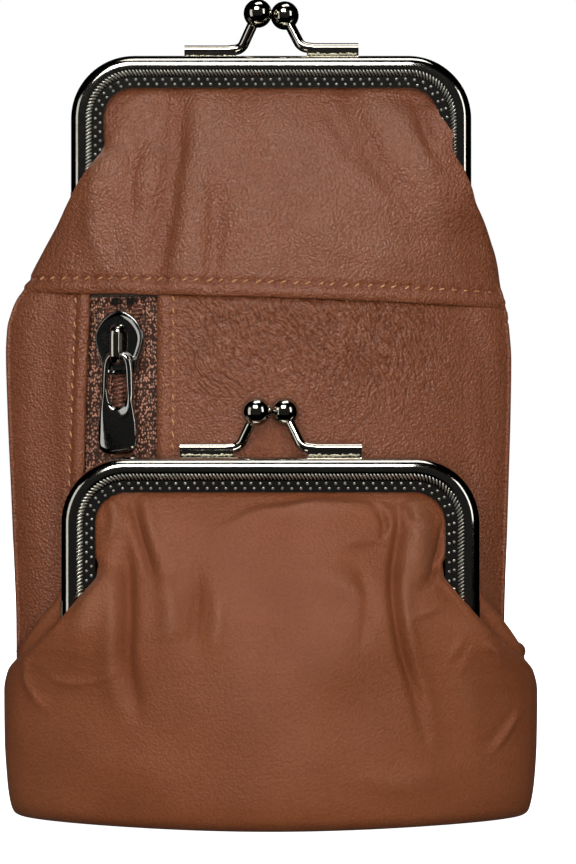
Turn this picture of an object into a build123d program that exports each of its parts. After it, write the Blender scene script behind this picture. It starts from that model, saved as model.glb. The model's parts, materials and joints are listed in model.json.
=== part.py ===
"""Coin purse: a tall leather pouch with a kiss-lock frame, a zip pocket let into its front, and a smaller
coin pouch with its own kiss-lock frame sewn to the lower front.

Millimetres. +X is to the right as seen from the front, the front faces -Y, +Z is up. The origin is
the middle of the base that the purse stands on.
"""

from build123d import *
import os
from math import atan2, degrees, sqrt

os.makedirs("parts", exist_ok=True)

# Frames: both are the same pressing, a channel bent into an arch and hinged at the feet of its legs
FRAME_WIDTH = 76.0
FRAME_HEIGHT = 33.0
FRAME_CORNER_R = 12.0
FACE_WIDTH = 6.3
HALF_DEPTH = 4.2
SHEET = 0.7
SHOULDER_R = 2.2
SHOULDER_WIDTH = 2.6
BAND_START = 4.2
BAND_DEPTH = 3.7
HALVES_GAP = 0.3
LEG_FOOT = 3.5
EAR_R = 2.6
EAR_SHEET = 0.8
RIVET_R = 0.9
RIVET_HOLE_R = 0.95
RIVET_HEAD_R = 1.7
RIVET_HEAD = 0.7

# Kiss lock
BALL_R = 2.7
BALL_X = 2.56
BALL_Y = 1.05
BALL_RISE = 8.3
CLASP_ARM_R = 1.0
CLASP_FOOT_INNER = 7.3
CLASP_FOOT_LENGTH = 8.8

# Where each frame sits: its mid-plane and its hinge axis
MAIN_Y = 9.0
MAIN_HINGE_Z = 110.0
COIN_Y = -8.7
COIN_HINGE_Z = 34.0

# Leather
LEATHER = 1.2
LINING = 0.5
SKIN_GAP = 0.15
MAIN_HALF_WIDTH = 47.8
MAIN_HALF_DEPTH = 12.0
COIN_HALF_WIDTH = 48.2
COIN_FRONT_Y = -21.5
COIN_BACK_Y = -5.5
COIN_SEAM_Y = 4.0
YOKE_EDGE_Z = 97.0
YOKE_BAND_TOP = 104.0
SEAM_GAP = 0.2
COIN_LOWER_TOP = 28.0

# Zip pocket
ZIP_X = -28.0
ZIP_WINDOW = 13.4
ZIP_WINDOW_BOTTOM = 34.0
ZIP_TAPE_TOP = 96.8
ZIP_TAPE_FRONT = 1.95
ZIP_TAPE = 0.5
SLIDER_TOP = 94.0
SLIDER_LENGTH = 11.7
SLIDER_WIDTH = 9.0
SLIDER_NOSE = 7.0
PULL_AXIS_Z = 86.0
PULL_AXIS_N = -2.1
PULL_LENGTH = 18.5
PULL_WIDTH = 6.3
PULL_TONGUE = 7.4
PULL_SHEET = 1.1


def save(node, solid):
    """Write one named piece."""
    export_step(solid, f"parts/{node}.step")


def arc_y(x, half_width, y_side, y_middle):
    """y at x on the arc through both sides and the middle of a bulged panel."""
    rise = y_side - y_middle
    radius = (half_width**2 + rise**2) / (2 * rise)
    return y_middle + radius - sqrt(radius**2 - x**2)


def lens(z, half_width, y_side, y_front, y_back):
    """A pouch's cross-section: a front and a back arc that meet at the side seams."""
    left = (-half_width, y_side, z)
    right = (half_width, y_side, z)
    front = ThreePointArc(left, (0, y_front, z), right)
    back = ThreePointArc(right, (0, y_back, z), left)
    return make_face([front, back])


def band(z, half_width, y_side, y_middle, inwards):
    """A bulged sheet's cross-section: its outer arc, and the same arc moved inwards."""
    ends = [(-half_width, y_side), (half_width, y_side)]
    outer = ThreePointArc((*ends[0], z), (0, y_middle, z), (*ends[1], z))
    inner = ThreePointArc(
        (ends[0][0], y_side + inwards, z), (0, y_middle + inwards, z), (ends[1][0], y_side + inwards, z)
    )
    sides = [Line(outer @ end, inner @ end) for end in (0, 1)]
    return make_face([outer, inner, *sides])


def sheet(sections, inwards, ruled=False):
    """A bulged sheet lofted through (z, half width, y at the sides, y in the middle)."""
    return loft([band(*section, inwards) for section in sections], ruled=ruled)


# ---- Frames -------------------------------------------------------------------------------------------
# Built about their own hinge axis: local z = 0 is the axis, y = 0 the plane where the halves meet.


def arch_path(foot_z):
    """The rim of the arch, from the foot of the left leg to the foot of the right one."""
    half = FRAME_WIDTH / 2
    points = [(-half, 0, foot_z), (-half, 0, FRAME_HEIGHT), (half, 0, FRAME_HEIGHT), (half, 0, foot_z)]
    return FilletPolyline(*points, radius=FRAME_CORNER_R)


def channel(side):
    """One half's folded channel: a round shoulder that steps down to a flat inner band.

    u runs in from the rim, v out from the plane where the halves meet.
    """

    def at(u, v):
        return (-FRAME_WIDTH / 2 + u, side * (HALVES_GAP / 2 + v), LEG_FOOT)

    def shoulder(inset):
        bend = SHOULDER_R * (1 - sqrt(0.5)) + inset * sqrt(0.5)
        return ThreePointArc(
            at(inset, HALF_DEPTH - SHOULDER_R),
            at(bend, HALF_DEPTH - bend),
            at(SHOULDER_R, HALF_DEPTH - inset),
        )

    edges = [
        Line(at(0, 0), at(0, HALF_DEPTH - SHOULDER_R)),
        shoulder(0),
        Polyline(
            at(SHOULDER_R, HALF_DEPTH),
            at(SHOULDER_WIDTH, HALF_DEPTH),
            at(BAND_START, BAND_DEPTH),
            at(FACE_WIDTH, BAND_DEPTH),
            at(FACE_WIDTH, BAND_DEPTH - SHEET),
            at(BAND_START, BAND_DEPTH - SHEET),
            at(SHOULDER_WIDTH, HALF_DEPTH - SHEET),
            at(SHOULDER_R, HALF_DEPTH - SHEET),
        ),
        shoulder(SHEET),
        Polyline(at(SHEET, HALF_DEPTH - SHOULDER_R), at(SHEET, SHEET), at(FACE_WIDTH, SHEET)),
        Polyline(at(FACE_WIDTH, SHEET), at(FACE_WIDTH, 0), at(0, 0)),
    ]
    return sweep(make_face(edges), path=arch_path(LEG_FOOT))


def ears(side):
    """The two hinge ears of one half. The rear half's lie inside the front half's."""
    root_z = 7.0
    web = [(HALVES_GAP / 2, root_z), (3.0, root_z), (3.0, LEG_FOOT), (2.2, 1.0), (HALVES_GAP / 2, 0)]
    outer = FRAME_WIDTH / 2
    if side > 0:
        outer = outer - EAR_SHEET - 0.1
    profile = make_face(Polyline(*[(side * y, z) for y, z in web], close=True)) + Circle(EAR_R)
    profile -= Circle(RIVET_HOLE_R)
    ear = extrude(Plane.YZ.offset(outer - EAR_SHEET) * profile, amount=EAR_SHEET)
    if side > 0:
        tie_x = (FRAME_WIDTH / 2 - SHEET / 2 + outer - EAR_SHEET) / 2
        tie = Box(FRAME_WIDTH / 2 - SHEET / 2 - outer + EAR_SHEET, 2.2, root_z - LEG_FOOT)
        ear += Pos(tie_x, 2.0, (root_z + LEG_FOOT) / 2) * tie
    return ear + mirror(ear, about=Plane.YZ)


def frame_half(side):
    """One half of a frame: its channel with both hinge ears."""
    return channel(side) + ears(side)


def paper_cord(side):
    """The cord and the leather's turned edge, packed into one half's channel."""
    foot_z = LEG_FOOT + 0.4
    left = -FRAME_WIDTH / 2
    section = ((2.1, 0.9), (5.9, 0.9), (5.9, 2.8), (2.1, 2.8))
    corners = [(left + u, side * (HALVES_GAP / 2 + v), foot_z) for u, v in section]
    return sweep(make_face(Polyline(*corners, close=True)), path=arch_path(foot_z))


def rear_clasp():
    """The rear half's clasp, on the left: a foot on the frame's top, a bent arm and a ball."""
    foot_y = 1.2
    foot_x = -CLASP_FOOT_INNER - CLASP_FOOT_LENGTH / 2
    flange = 0.7
    bar_z = FRAME_HEIGHT + flange + CLASP_ARM_R - 0.1
    ball = (-BALL_X, -BALL_Y, FRAME_HEIGHT + BALL_RISE)
    foot = Pos(foot_x, foot_y, (FRAME_HEIGHT + bar_z) / 2) * Box(CLASP_FOOT_LENGTH + 1, 1.9, bar_z - FRAME_HEIGHT)
    bar = Pos(foot_x, foot_y, bar_z) * Rot(0, 90, 0) * Cylinder(CLASP_ARM_R, CLASP_FOOT_LENGTH + 1)
    start = (-CLASP_FOOT_INNER - 1, foot_y, bar_z)
    route = FilletPolyline(start, (-5.7, foot_y, bar_z + 0.3), (-4.3, 0.2, bar_z + 3.2), ball, radius=2.0)
    arm = sweep(Plane(origin=route @ 0, z_dir=route % 0) * Circle(CLASP_ARM_R), path=route)
    return foot + bar + arm + Pos(*ball) * Sphere(BALL_R)


def clasp(side):
    """Either half's clasp: the front half's is the rear half's turned half round."""
    if side > 0:
        return rear_clasp()
    return Rot(0, 0, 180) * rear_clasp()


def rivets():
    """The two rivets that both halves turn on."""
    outer = FRAME_WIDTH / 2 + 0.05 + RIVET_HEAD
    inner = FRAME_WIDTH / 2 - 2 * EAR_SHEET - 0.2 - RIVET_HEAD
    turn = Rot(0, 90, 0)
    pin = Pos((outer + inner) / 2, 0, 0) * turn * Cylinder(RIVET_R, outer - inner)
    heads = [Pos(x, 0, 0) * turn * Cylinder(RIVET_HEAD_R, RIVET_HEAD) for x in (outer - 0.35, inner + 0.35)]
    rivet = pin + heads[0] + heads[1]
    return rivet + mirror(rivet, about=Plane.YZ)


def mouth_region():
    """The space inside the arch, a little smaller than the channel's inner edge."""
    clear = 0.3
    half = FRAME_WIDTH / 2 - FACE_WIDTH - clear
    top = FRAME_HEIGHT - FACE_WIDTH - clear
    low = -20.0
    inner_r = FRAME_CORNER_R - FACE_WIDTH - clear
    block = Pos(0, 0, (top + low) / 2) * Box(2 * half, 40, top - low)
    corners = block.edges().filter_by(Axis.Y).group_by(Axis.Z)[-1]
    return fillet(corners, inner_r)


def upper_sheet(sections, inwards):
    """The part of a panel or lining that the frame half holds, inside the arch."""
    return sheet(sections, inwards) & mouth_region()


def inset(sections, step):
    """The same sections moved towards the plane where the halves meet."""
    moved = []
    for z, half_width, y_side, y_middle in sections:
        direction = 1 if y_middle < 0 else -1
        moved.append((z, half_width, y_side + direction * step, y_middle + direction * step))
    return moved


HALF_WIDTH_IN_ARCH = FRAME_WIDTH / 2 - FACE_WIDTH
ARCH_TOP = FRAME_HEIGHT - FACE_WIDTH
EDGE_Y = HALVES_GAP / 2 + HALF_DEPTH / 2 + LEATHER / 2

# (z, half width, y at the sides, y in the middle), about the hinge axis
MAIN_UPPER = [
    (9.4, HALF_WIDTH_IN_ARCH, -EDGE_Y, -8.6),
    (18.0, HALF_WIDTH_IN_ARCH, -EDGE_Y, -6.8),
    (ARCH_TOP, HALF_WIDTH_IN_ARCH, -EDGE_Y, -3.4),
]
COIN_UPPER = [
    (16.4, HALF_WIDTH_IN_ARCH, -EDGE_Y, -10.1),
    (22.0, HALF_WIDTH_IN_ARCH, -EDGE_Y, -7.8),
    (ARCH_TOP, HALF_WIDTH_IN_ARCH, -EDGE_Y, -4.6),
]
COIN_REAR_UPPER = [
    (COIN_LOWER_TOP + SEAM_GAP - COIN_HINGE_Z, HALF_WIDTH_IN_ARCH, EDGE_Y, 3.2),
    (ARCH_TOP, HALF_WIDTH_IN_ARCH, EDGE_Y, EDGE_Y + 0.1),
]
MAIN_FOLD = [
    (-5.8, 43.5, -1.6, -11.8),
    (2.0, 40.0, -5.6, -10.8),
    (9.2, 34.0, -6.0, -8.8),
]
COIN_FOLD = [
    (COIN_LOWER_TOP + SEAM_GAP - COIN_HINGE_Z, 47.6, 9.5, -12.7),
    (-3.0, 46.0, -3.0, -12.5),
    (4.0, 40.0, -6.2, -12.0),
    (16.2, 33.0, -6.4, -10.3),
]


def flipped(sections):
    """The same sections on the other side of the plane where the halves meet."""
    return [(z, half_width, -y_side, -y_middle) for z, half_width, y_side, y_middle in sections]


main_at = Pos(0, MAIN_Y, MAIN_HINGE_Z)
coin_at = Pos(0, COIN_Y, COIN_HINGE_Z)

for name, place in (("main", main_at), ("coin", coin_at)):
    for half, side in (("front", -1), ("rear", 1)):
        save(f"{name}_{half}_frame", place * frame_half(side))
        save(f"{name}_{half}_clasp", place * clasp(side))
        save(f"{name}_{half}_cord", place * paper_cord(side))
    save(f"{name}_hinge_rivets", place * rivets())

lining_step = LEATHER + SKIN_GAP
save("main_front_upper", main_at * upper_sheet(MAIN_UPPER, LEATHER))
save("main_rear_upper", main_at * upper_sheet(flipped(MAIN_UPPER), -LEATHER))
save("coin_front_upper", coin_at * upper_sheet(COIN_UPPER, LEATHER))
save("coin_rear_upper", coin_at * upper_sheet(COIN_REAR_UPPER, -LEATHER))
save("main_front_upper_lining", main_at * upper_sheet(inset(MAIN_UPPER, lining_step), LINING))
save("main_rear_upper_lining", main_at * upper_sheet(inset(flipped(MAIN_UPPER), lining_step), -LINING))
save("coin_front_upper_lining", coin_at * upper_sheet(inset(COIN_UPPER, lining_step), LINING))

# The strips of leather that crease when a frame half swings
save("main_front_fold", main_at * sheet(MAIN_FOLD, LEATHER))
save("main_rear_fold", main_at * sheet(flipped(MAIN_FOLD), -LEATHER))
save("coin_front_fold", coin_at * sheet(COIN_FOLD, LEATHER, ruled=True))


# ---- Main pouch ---------------------------------------------------------------------------------------


def main_body(half_width, half_depth, step=0.0, low=0.0, top=YOKE_EDGE_Z - SEAM_GAP):
    """The main pouch's lower body as a solid, or its inside when stepped in from the surface."""
    levels = [(low, 2.3, 2.0), (low + 4.0, 0.2, 0.4), (low + 14.0, 0.0, 0.0), (90.0, 0.0, 0.0), (top, 1.6, 0.0)]
    sections = []
    for z, narrow, flat in levels:
        depth = half_depth - flat - step
        sections.append(lens(z, half_width - narrow - 2.2 * step, MAIN_Y, MAIN_Y - depth, MAIN_Y + depth))
    return loft(sections, ruled=True)


def half_space(y, side):
    """Everything on one side of a plane across Y."""
    depth = 60.0
    return Pos(0, y + side * depth / 2, 80) * Box(120, depth, 260)


BOTTOM = 1.2
shell = main_body(MAIN_HALF_WIDTH, MAIN_HALF_DEPTH)
hollow = main_body(MAIN_HALF_WIDTH, MAIN_HALF_DEPTH, step=LEATHER)
shell -= hollow
lower_slice = Pos(0, 0, BOTTOM / 2) * Box(120, 120, BOTTOM)
wall = shell - lower_slice
main_bottom = main_body(MAIN_HALF_WIDTH, MAIN_HALF_DEPTH) & lower_slice

# The zip lies flat on the panel, whose surface slopes away from the front there
zip_y = arc_y(ZIP_X, MAIN_HALF_WIDTH, MAIN_Y, MAIN_Y - MAIN_HALF_DEPTH)
surface_r = (MAIN_HALF_WIDTH**2 + MAIN_HALF_DEPTH**2) / (2 * MAIN_HALF_DEPTH)
zip_turn = degrees(atan2(ZIP_X, sqrt(surface_r**2 - ZIP_X**2)))
zip_at = Pos(ZIP_X, zip_y, 0) * Rot(0, 0, zip_turn)
print("zip plane:", round(zip_y, 3), "turned", round(zip_turn, 3))

window_top = YOKE_EDGE_Z + 5
window_size = Box(ZIP_WINDOW, 12, window_top - ZIP_WINDOW_BOTTOM)
window = zip_at * Pos(0, 0, (window_top + ZIP_WINDOW_BOTTOM) / 2) * window_size
save("main_front_panel", (wall & half_space(MAIN_Y, -1)) - window)
save("main_back_panel", wall & half_space(MAIN_Y, 1))
save("main_bottom_panel", main_bottom)

# The yoke's lower edge, which overlaps the lower panels at the stitched fold
YOKE_BAND = [
    (YOKE_EDGE_Z, 46.0, MAIN_Y, MAIN_Y - MAIN_HALF_DEPTH - 0.2),
    (YOKE_BAND_TOP, 43.8, MAIN_Y, MAIN_Y - MAIN_HALF_DEPTH),
]
yoke_band = sheet(YOKE_BAND, LEATHER) & half_space(MAIN_Y, -1)
save("front_yoke_band", yoke_band)
save("back_yoke_band", mirror(yoke_band, about=Plane.XZ.offset(-MAIN_Y)))

# The lining bag hangs behind the zip pocket
LINING_FRONT_Y = 6.2
LINING_BACK_Y = 19.1
LINING_HALF_WIDTH = 44.4


def lining_bag(z, step):
    """The main lining's cross-section."""
    return lens(z, LINING_HALF_WIDTH - 3 * step, MAIN_Y, LINING_FRONT_Y + step, LINING_BACK_Y - step)


def lining_top(z, step):
    """The lining's cross-section at its narrower top."""
    return lens(z, 42.0 - 3 * step, MAIN_Y, LINING_FRONT_Y + step, LINING_BACK_Y - 0.4 - step)


lining_low = BOTTOM + 0.3
outer_bag = loft(
    [lining_bag(lining_low, 0.8), lining_bag(lining_low + 12, 0), lining_bag(88, 0), lining_top(103, 0)],
    ruled=True,
)
inner_bag = loft(
    [
        lining_bag(lining_low + LINING, 0.8 + LINING),
        lining_bag(lining_low + 12, LINING),
        lining_bag(88, LINING),
        lining_top(103, LINING),
    ],
    ruled=True,
)
save("main_lining", outer_bag - inner_bag)

# ---- Zip ----------------------------------------------------------------------------------------------
# Local x runs along the panel, local y into it from its outer surface, z is up.

TEETH_INNER = 0.75
TEETH_WIDTH = 1.25
TEETH_FRONT = 0.75
TAPE_OUTER = 8.2
ZIP_FOOT = 31.0


def slab(x_range, y_range, z_range):
    """A box between three pairs of limits."""
    limits = (x_range, y_range, z_range)
    middle = [(low + high) / 2 for low, high in limits]
    return Pos(*middle) * Box(*[high - low for low, high in limits])


def on_side(side, near, far):
    """Two distances from the zip's middle, as limits on its left or right."""
    return tuple(sorted((side * near, side * far)))


tape_y = (ZIP_TAPE_FRONT, ZIP_TAPE_FRONT + ZIP_TAPE)
teeth_y = (TEETH_FRONT, ZIP_TAPE_FRONT)
stops = []
for name, side in (("left", -1), ("right", 1)):
    tape = slab(on_side(side, TEETH_INNER, TAPE_OUTER), tape_y, (ZIP_FOOT, ZIP_TAPE_TOP))
    teeth = slab(on_side(side, TEETH_INNER, TEETH_INNER + TEETH_WIDTH), teeth_y, (37.0, 95.4))
    stops.append(slab(on_side(side, TEETH_INNER, 2.3), teeth_y, (95.5, 96.7)))
    save(f"zip_tape_{name}", zip_at * tape)
    save(f"zip_teeth_{name}", zip_at * teeth)
stops.append(slab((-2.3, 2.3), teeth_y, (35.2, 36.8)))
save("zip_stops", Compound([zip_at * stop for stop in stops]))

POCKET_HALF_WIDTH = 8.6
POCKET_WALL = 0.3
pocket = slab((-POCKET_HALF_WIDTH, POCKET_HALF_WIDTH), (2.5, 4.5), (24.0, 99.0))
inside = POCKET_HALF_WIDTH - POCKET_WALL
pocket -= slab((-inside, inside), (2.0, 4.5 - POCKET_WALL), (24.0 + POCKET_WALL, 99.0 - POCKET_WALL))
save("zip_pocket_bag", zip_at * pocket)

# Slider: two plates round the teeth, joined by a post between the rows, with a bridge for the pull
slider_bottom = SLIDER_TOP - SLIDER_LENGTH
wide = SLIDER_WIDTH / 2
nose = SLIDER_NOSE / 2
outline = Polyline(
    (-wide + 1.4, SLIDER_TOP),
    (wide - 1.4, SLIDER_TOP),
    (wide, SLIDER_TOP - 2.6),
    (wide, SLIDER_TOP - 5.2),
    (nose, slider_bottom + 3.0),
    (nose, slider_bottom),
    (-nose, slider_bottom),
    (-nose, slider_bottom + 3.0),
    (-wide, SLIDER_TOP - 5.2),
    (-wide, SLIDER_TOP - 2.6),
    close=True,
)
plate_face = make_face(outline)
plate_face = fillet(plate_face.vertices(), 0.8)
PLATE_FRONT = -1.2
PLATE = 0.85
FLANGE = 0.8
BACK_PLATE_Y = 2.75


def standing(face, y_front, y_back):
    """A face drawn in x and z, as a plate between two depths."""
    plane = Plane.XZ.offset(-y_back)
    return extrude(plane * face, amount=y_back - y_front)


front_plate = standing(plate_face, PLATE_FRONT, PLATE_FRONT + PLATE)
flange_lane = Pos(0, (SLIDER_TOP + slider_bottom) / 2) * Rectangle(2 * (nose - FLANGE), SLIDER_LENGTH + 2)
flange_face = plate_face - flange_lane
flanges = standing(flange_face, PLATE_FRONT + PLATE / 2, ZIP_TAPE_FRONT - 0.35)
back_plate = standing(plate_face, BACK_PLATE_Y, BACK_PLATE_Y + PLATE)
post = slab((-0.4, 0.4), (PLATE_FRONT + PLATE / 2, BACK_PLATE_Y + PLATE / 2), (90.3, 93.2))
slider = front_plate + flanges + back_plate + post

BRIDGE_TOP_Y = -3.8
BRIDGE_SHEET = 0.6
BRIDGE_LEG = 0.7
BRIDGE_WIDTH = 2.0
bridge_z = (84.2, 91.6)
bridge = slab((-BRIDGE_WIDTH / 2, BRIDGE_WIDTH / 2), (BRIDGE_TOP_Y, PLATE_FRONT + PLATE / 2), bridge_z)
bridge_corners = bridge.edges().filter_by(Axis.X).group_by(Axis.Y)[0]
bridge = fillet(bridge_corners, 1.2)
arch_z = (bridge_z[0] + BRIDGE_LEG, bridge_z[1] - BRIDGE_LEG)
arch_hole = slab((-BRIDGE_WIDTH, BRIDGE_WIDTH), (BRIDGE_TOP_Y + BRIDGE_SHEET, PLATE_FRONT + PLATE), arch_z)
hole_corners = arch_hole.edges().filter_by(Axis.X).group_by(Axis.Y)[0]
slider += bridge - fillet(hole_corners, 0.7)
save("zip_slider", zip_at * slider)

# Pull: a crossbar under the bridge, a ring with a long teardrop hole, and a wider tongue
pull_low = PULL_AXIS_Z - PULL_LENGTH
tongue_top = 75.2
CROSSBAR = PULL_SHEET / 2
pull_outline = Polyline(
    (-PULL_WIDTH / 2 + 0.5, PULL_AXIS_Z + CROSSBAR),
    (PULL_WIDTH / 2 - 0.5, PULL_AXIS_Z + CROSSBAR),
    (PULL_WIDTH / 2, PULL_AXIS_Z - 0.4),
    (PULL_WIDTH / 2, tongue_top),
    (PULL_TONGUE / 2, tongue_top - 1.0),
    (PULL_TONGUE / 2, pull_low),
    (-PULL_TONGUE / 2, pull_low),
    (-PULL_TONGUE / 2, tongue_top - 1.0),
    (-PULL_WIDTH / 2, tongue_top),
    (-PULL_WIDTH / 2, PULL_AXIS_Z - 0.4),
    close=True,
)
pull_face = make_face(pull_outline)
tip = pull_face.vertices().sort_by(Axis.Y)[:2]
pull_face = fillet(tip, 2.0)
HOLE_WIDTH = 3.9
hole_top = PULL_AXIS_Z - CROSSBAR
hole_low = 76.2
hole_box = Pos(0, (hole_top + hole_low) / 2) * Rectangle(HOLE_WIDTH, hole_top - hole_low)
pull_face -= fillet(hole_box.vertices(), 1.2)
pull_y = (PULL_AXIS_N - PULL_SHEET / 2, PULL_AXIS_N + PULL_SHEET / 2)
save("zip_pull", zip_at * standing(pull_face, *pull_y))

# ---- Coin pouch ---------------------------------------------------------------------------------------


def coin_body(step=0.0, low=0.0):
    """The coin pouch's lower body as a solid, or its inside when stepped in from the surface."""
    levels = [
        (low, 3.0, 2.6, 4.6, 0.8),
        (low + 4.0, 0.8, 0.8, 1.6, 0.2),
        (low + 14.0, 0.0, 0.0, 0.0, 0.0),
        (COIN_LOWER_TOP, 0.0, 0.6, 0.0, 0.0),
    ]
    sections = []
    for z, narrow, seam, flat, back in levels:
        half_width = COIN_HALF_WIDTH - narrow - 2.2 * step
        front_y = COIN_FRONT_Y + flat + step
        back_y = COIN_BACK_Y - back - step
        sections.append(lens(z, half_width, COIN_SEAM_Y - seam - 1.2 * step, front_y, back_y))
    return loft(sections, ruled=True)


coin_shell = coin_body() - coin_body(step=LEATHER, low=BOTTOM)
middle_y = (COIN_FRONT_Y + COIN_BACK_Y) / 2
behind = extrude(lens(-5, COIN_HALF_WIDTH + 2, COIN_SEAM_Y, middle_y, 60), amount=60)
coin_front = coin_shell - behind
save("coin_front_panel", coin_front)
save("coin_back_panel", coin_shell & behind)
lining_outside = coin_body(step=LEATHER + SKIN_GAP, low=BOTTOM + SKIN_GAP)
save("coin_lining", lining_outside - coin_body(step=LEATHER + SKIN_GAP + LINING, low=BOTTOM + SKIN_GAP + LINING))

# Nubs where the pouch's side seams end, bar-tacked to the main pouch
NUB_RADIUS = 1.8
NUB_LENGTH = 5.0
NUB_AT = (46.2, 2.4, 30.6)
nub = Pos(*NUB_AT) * Rot(90, 0, 0) * Cylinder(NUB_RADIUS, NUB_LENGTH)
nub = fillet(nub.edges(), 0.8)
save("coin_side_nubs", nub + mirror(nub, about=Plane.YZ))
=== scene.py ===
"""The looks of the coin purse: creased leather skins over the CAD frame, linings, stitching, zip and metal.

Shapes are worked out in millimetres in the purse's own frame and become metres when a mesh is made.
A skin's rows are measured from the hinge of the metal frame that it hangs from: height above the hinge, and
distance out from the plane where the two frame halves meet.
"""

import json
import math

import bpy
import numpy as np
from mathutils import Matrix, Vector
from mathutils.bvhtree import BVHTree


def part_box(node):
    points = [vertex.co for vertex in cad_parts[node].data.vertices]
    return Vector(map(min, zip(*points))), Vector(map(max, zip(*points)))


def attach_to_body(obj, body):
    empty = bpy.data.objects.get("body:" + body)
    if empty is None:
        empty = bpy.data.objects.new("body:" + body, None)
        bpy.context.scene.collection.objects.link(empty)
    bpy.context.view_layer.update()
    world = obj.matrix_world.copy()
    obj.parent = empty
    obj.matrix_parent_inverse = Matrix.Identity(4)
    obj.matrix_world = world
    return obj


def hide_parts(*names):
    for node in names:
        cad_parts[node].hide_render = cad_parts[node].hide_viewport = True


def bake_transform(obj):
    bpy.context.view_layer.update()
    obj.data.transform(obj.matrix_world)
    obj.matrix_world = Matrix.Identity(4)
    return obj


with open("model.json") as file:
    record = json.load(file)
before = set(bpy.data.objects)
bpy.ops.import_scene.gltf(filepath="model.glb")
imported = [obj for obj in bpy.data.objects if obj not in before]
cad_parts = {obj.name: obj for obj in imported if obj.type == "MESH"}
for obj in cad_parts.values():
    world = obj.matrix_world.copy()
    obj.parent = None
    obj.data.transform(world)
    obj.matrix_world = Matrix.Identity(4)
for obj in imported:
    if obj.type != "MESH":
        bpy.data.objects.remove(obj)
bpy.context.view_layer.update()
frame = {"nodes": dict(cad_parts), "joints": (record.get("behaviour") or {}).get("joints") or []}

MM = 0.001
JOINTS = {joint["name"]: joint for joint in frame["joints"]}


def node_box(*names):
    """Lowest and highest corner of one or more CAD nodes, in millimetres."""
    boxes = [np.array(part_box(name)) / MM for name in names]
    return np.min([b[0] for b in boxes], axis=0), np.max([b[1] for b in boxes], axis=0)


def joint_place(name):
    """A joint's anchor, in millimetres."""
    return np.array(JOINTS[name]["pos_m"]) / MM


MAIN_HINGE = joint_place("main_front_open")
COIN_HINGE = joint_place("coin_front_open")
PANEL_LOW, PANEL_HIGH = node_box("main_front_panel", "main_back_panel")
HALF_WIDTH = (PANEL_HIGH[0] - PANEL_LOW[0]) / 2
HALF_DEPTH = (PANEL_HIGH[1] - PANEL_LOW[1]) / 2
STITCH_PITCH = 2.3
STITCH_ABOVE = 2.5
# The lining hangs this far inside the yoke, and no fold reaches down to it
LINING_GAP = 1.6
SEAM_SLOPE = 0.031
# Spans below and above a hinge, in millimetres, passed on to attach_across as reach
MAIN_BLEND = (5, 8)
COIN_BLEND = (6, 10)
FULL_TURN = 2 * math.pi

# ---- Small mathematics ----


def smoothstep(low, high, value):
    """From 0 at low to 1 at high, smoothly. low may be the larger of the two."""
    t = np.clip((np.asarray(value, float) - low) / (high - low), 0, 1)
    return t * t * (3 - 2 * t)


def through(points, at):
    """A smooth line through (position, value) points that never overshoots them, read at some positions."""
    x, y = np.array(points, float).T
    step = np.diff(x)
    slope = np.diff(y) / step
    tangent = np.zeros_like(y)
    tangent[0], tangent[-1] = slope[0], slope[-1]
    same = slope[:-1] * slope[1:] > 0
    left, right = slope[:-1][same], slope[1:][same]
    tangent[1:-1][same] = 2 * left * right / (left + right)
    at = np.clip(at, x[0], x[-1])
    i = np.clip(np.searchsorted(x, at) - 1, 0, len(step) - 1)
    h = step[i]
    t = (at - x[i]) / h
    return (
        (1 + 2 * t) * (1 - t) ** 2 * y[i]
        + t * (1 - t) ** 2 * h * tangent[i]
        + t * t * (3 - 2 * t) * y[i + 1]
        + t * t * (t - 1) * h * tangent[i + 1]
    )


def smooth_line(points, per_span=6, closed=False):
    """A Catmull-Rom line through points of any dimension."""
    p = np.array(points, float)
    if len(p) == 2 and not closed:
        return p
    if closed:
        p = np.vstack([p[-1], p, p[0], p[1]])
    else:
        p = np.vstack([2 * p[0] - p[1], p, 2 * p[-1] - p[-2]])
    out = []
    for a, b, c, d in zip(p[:-3], p[1:-2], p[2:-1], p[3:]):
        for t in np.arange(per_span) / per_span:
            square = (2 * a - 5 * b + 4 * c - d) * t**2
            cube = (3 * b - a - 3 * c + d) * t**3
            out.append(0.5 * (2 * b + (c - a) * t + square + cube))
    if not closed:
        out.append(p[-2])
    return np.array(out)


def even_line(points, count, closed=False):
    """The same line with its points evenly spaced along it."""
    p = np.array(points, float)
    if closed:
        p = np.vstack([p, p[0]])
    run = np.concatenate([[0], np.cumsum(np.linalg.norm(np.diff(p, axis=0), axis=1))])
    at = np.linspace(0, run[-1], count, endpoint=not closed)
    return np.stack([np.interp(at, run, p[:, k]) for k in range(p.shape[1])], axis=1)


def half_round(t):
    """The height of a half circle over positions from -1 to 1."""
    return np.sqrt(np.maximum(1 - t**2, 0))


def crowded(count):
    """Positions from -1 to 1 that crowd towards both ends."""
    return np.sin(np.linspace(-1, 1, count) * math.pi / 2)


def xyz(x, y, z):
    """Points from their coordinates, each spread over the others' grid."""
    return np.stack(np.broadcast_arrays(x, y, z), axis=-1)


def waves(x, z, size, seed, count=9):
    """A gentle random swell of about that wavelength, between about -1 and 1."""
    rng = np.random.default_rng(seed)
    total = np.zeros_like(x)
    for _ in range(count):
        angle = rng.uniform(0, math.pi)
        length = size * rng.uniform(0.7, 1.6)
        phase = rng.uniform(0, FULL_TURN)
        total += np.sin((x * math.cos(angle) + z * math.sin(angle)) * FULL_TURN / length + phase)
    return total / math.sqrt(count) / 1.2


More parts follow.
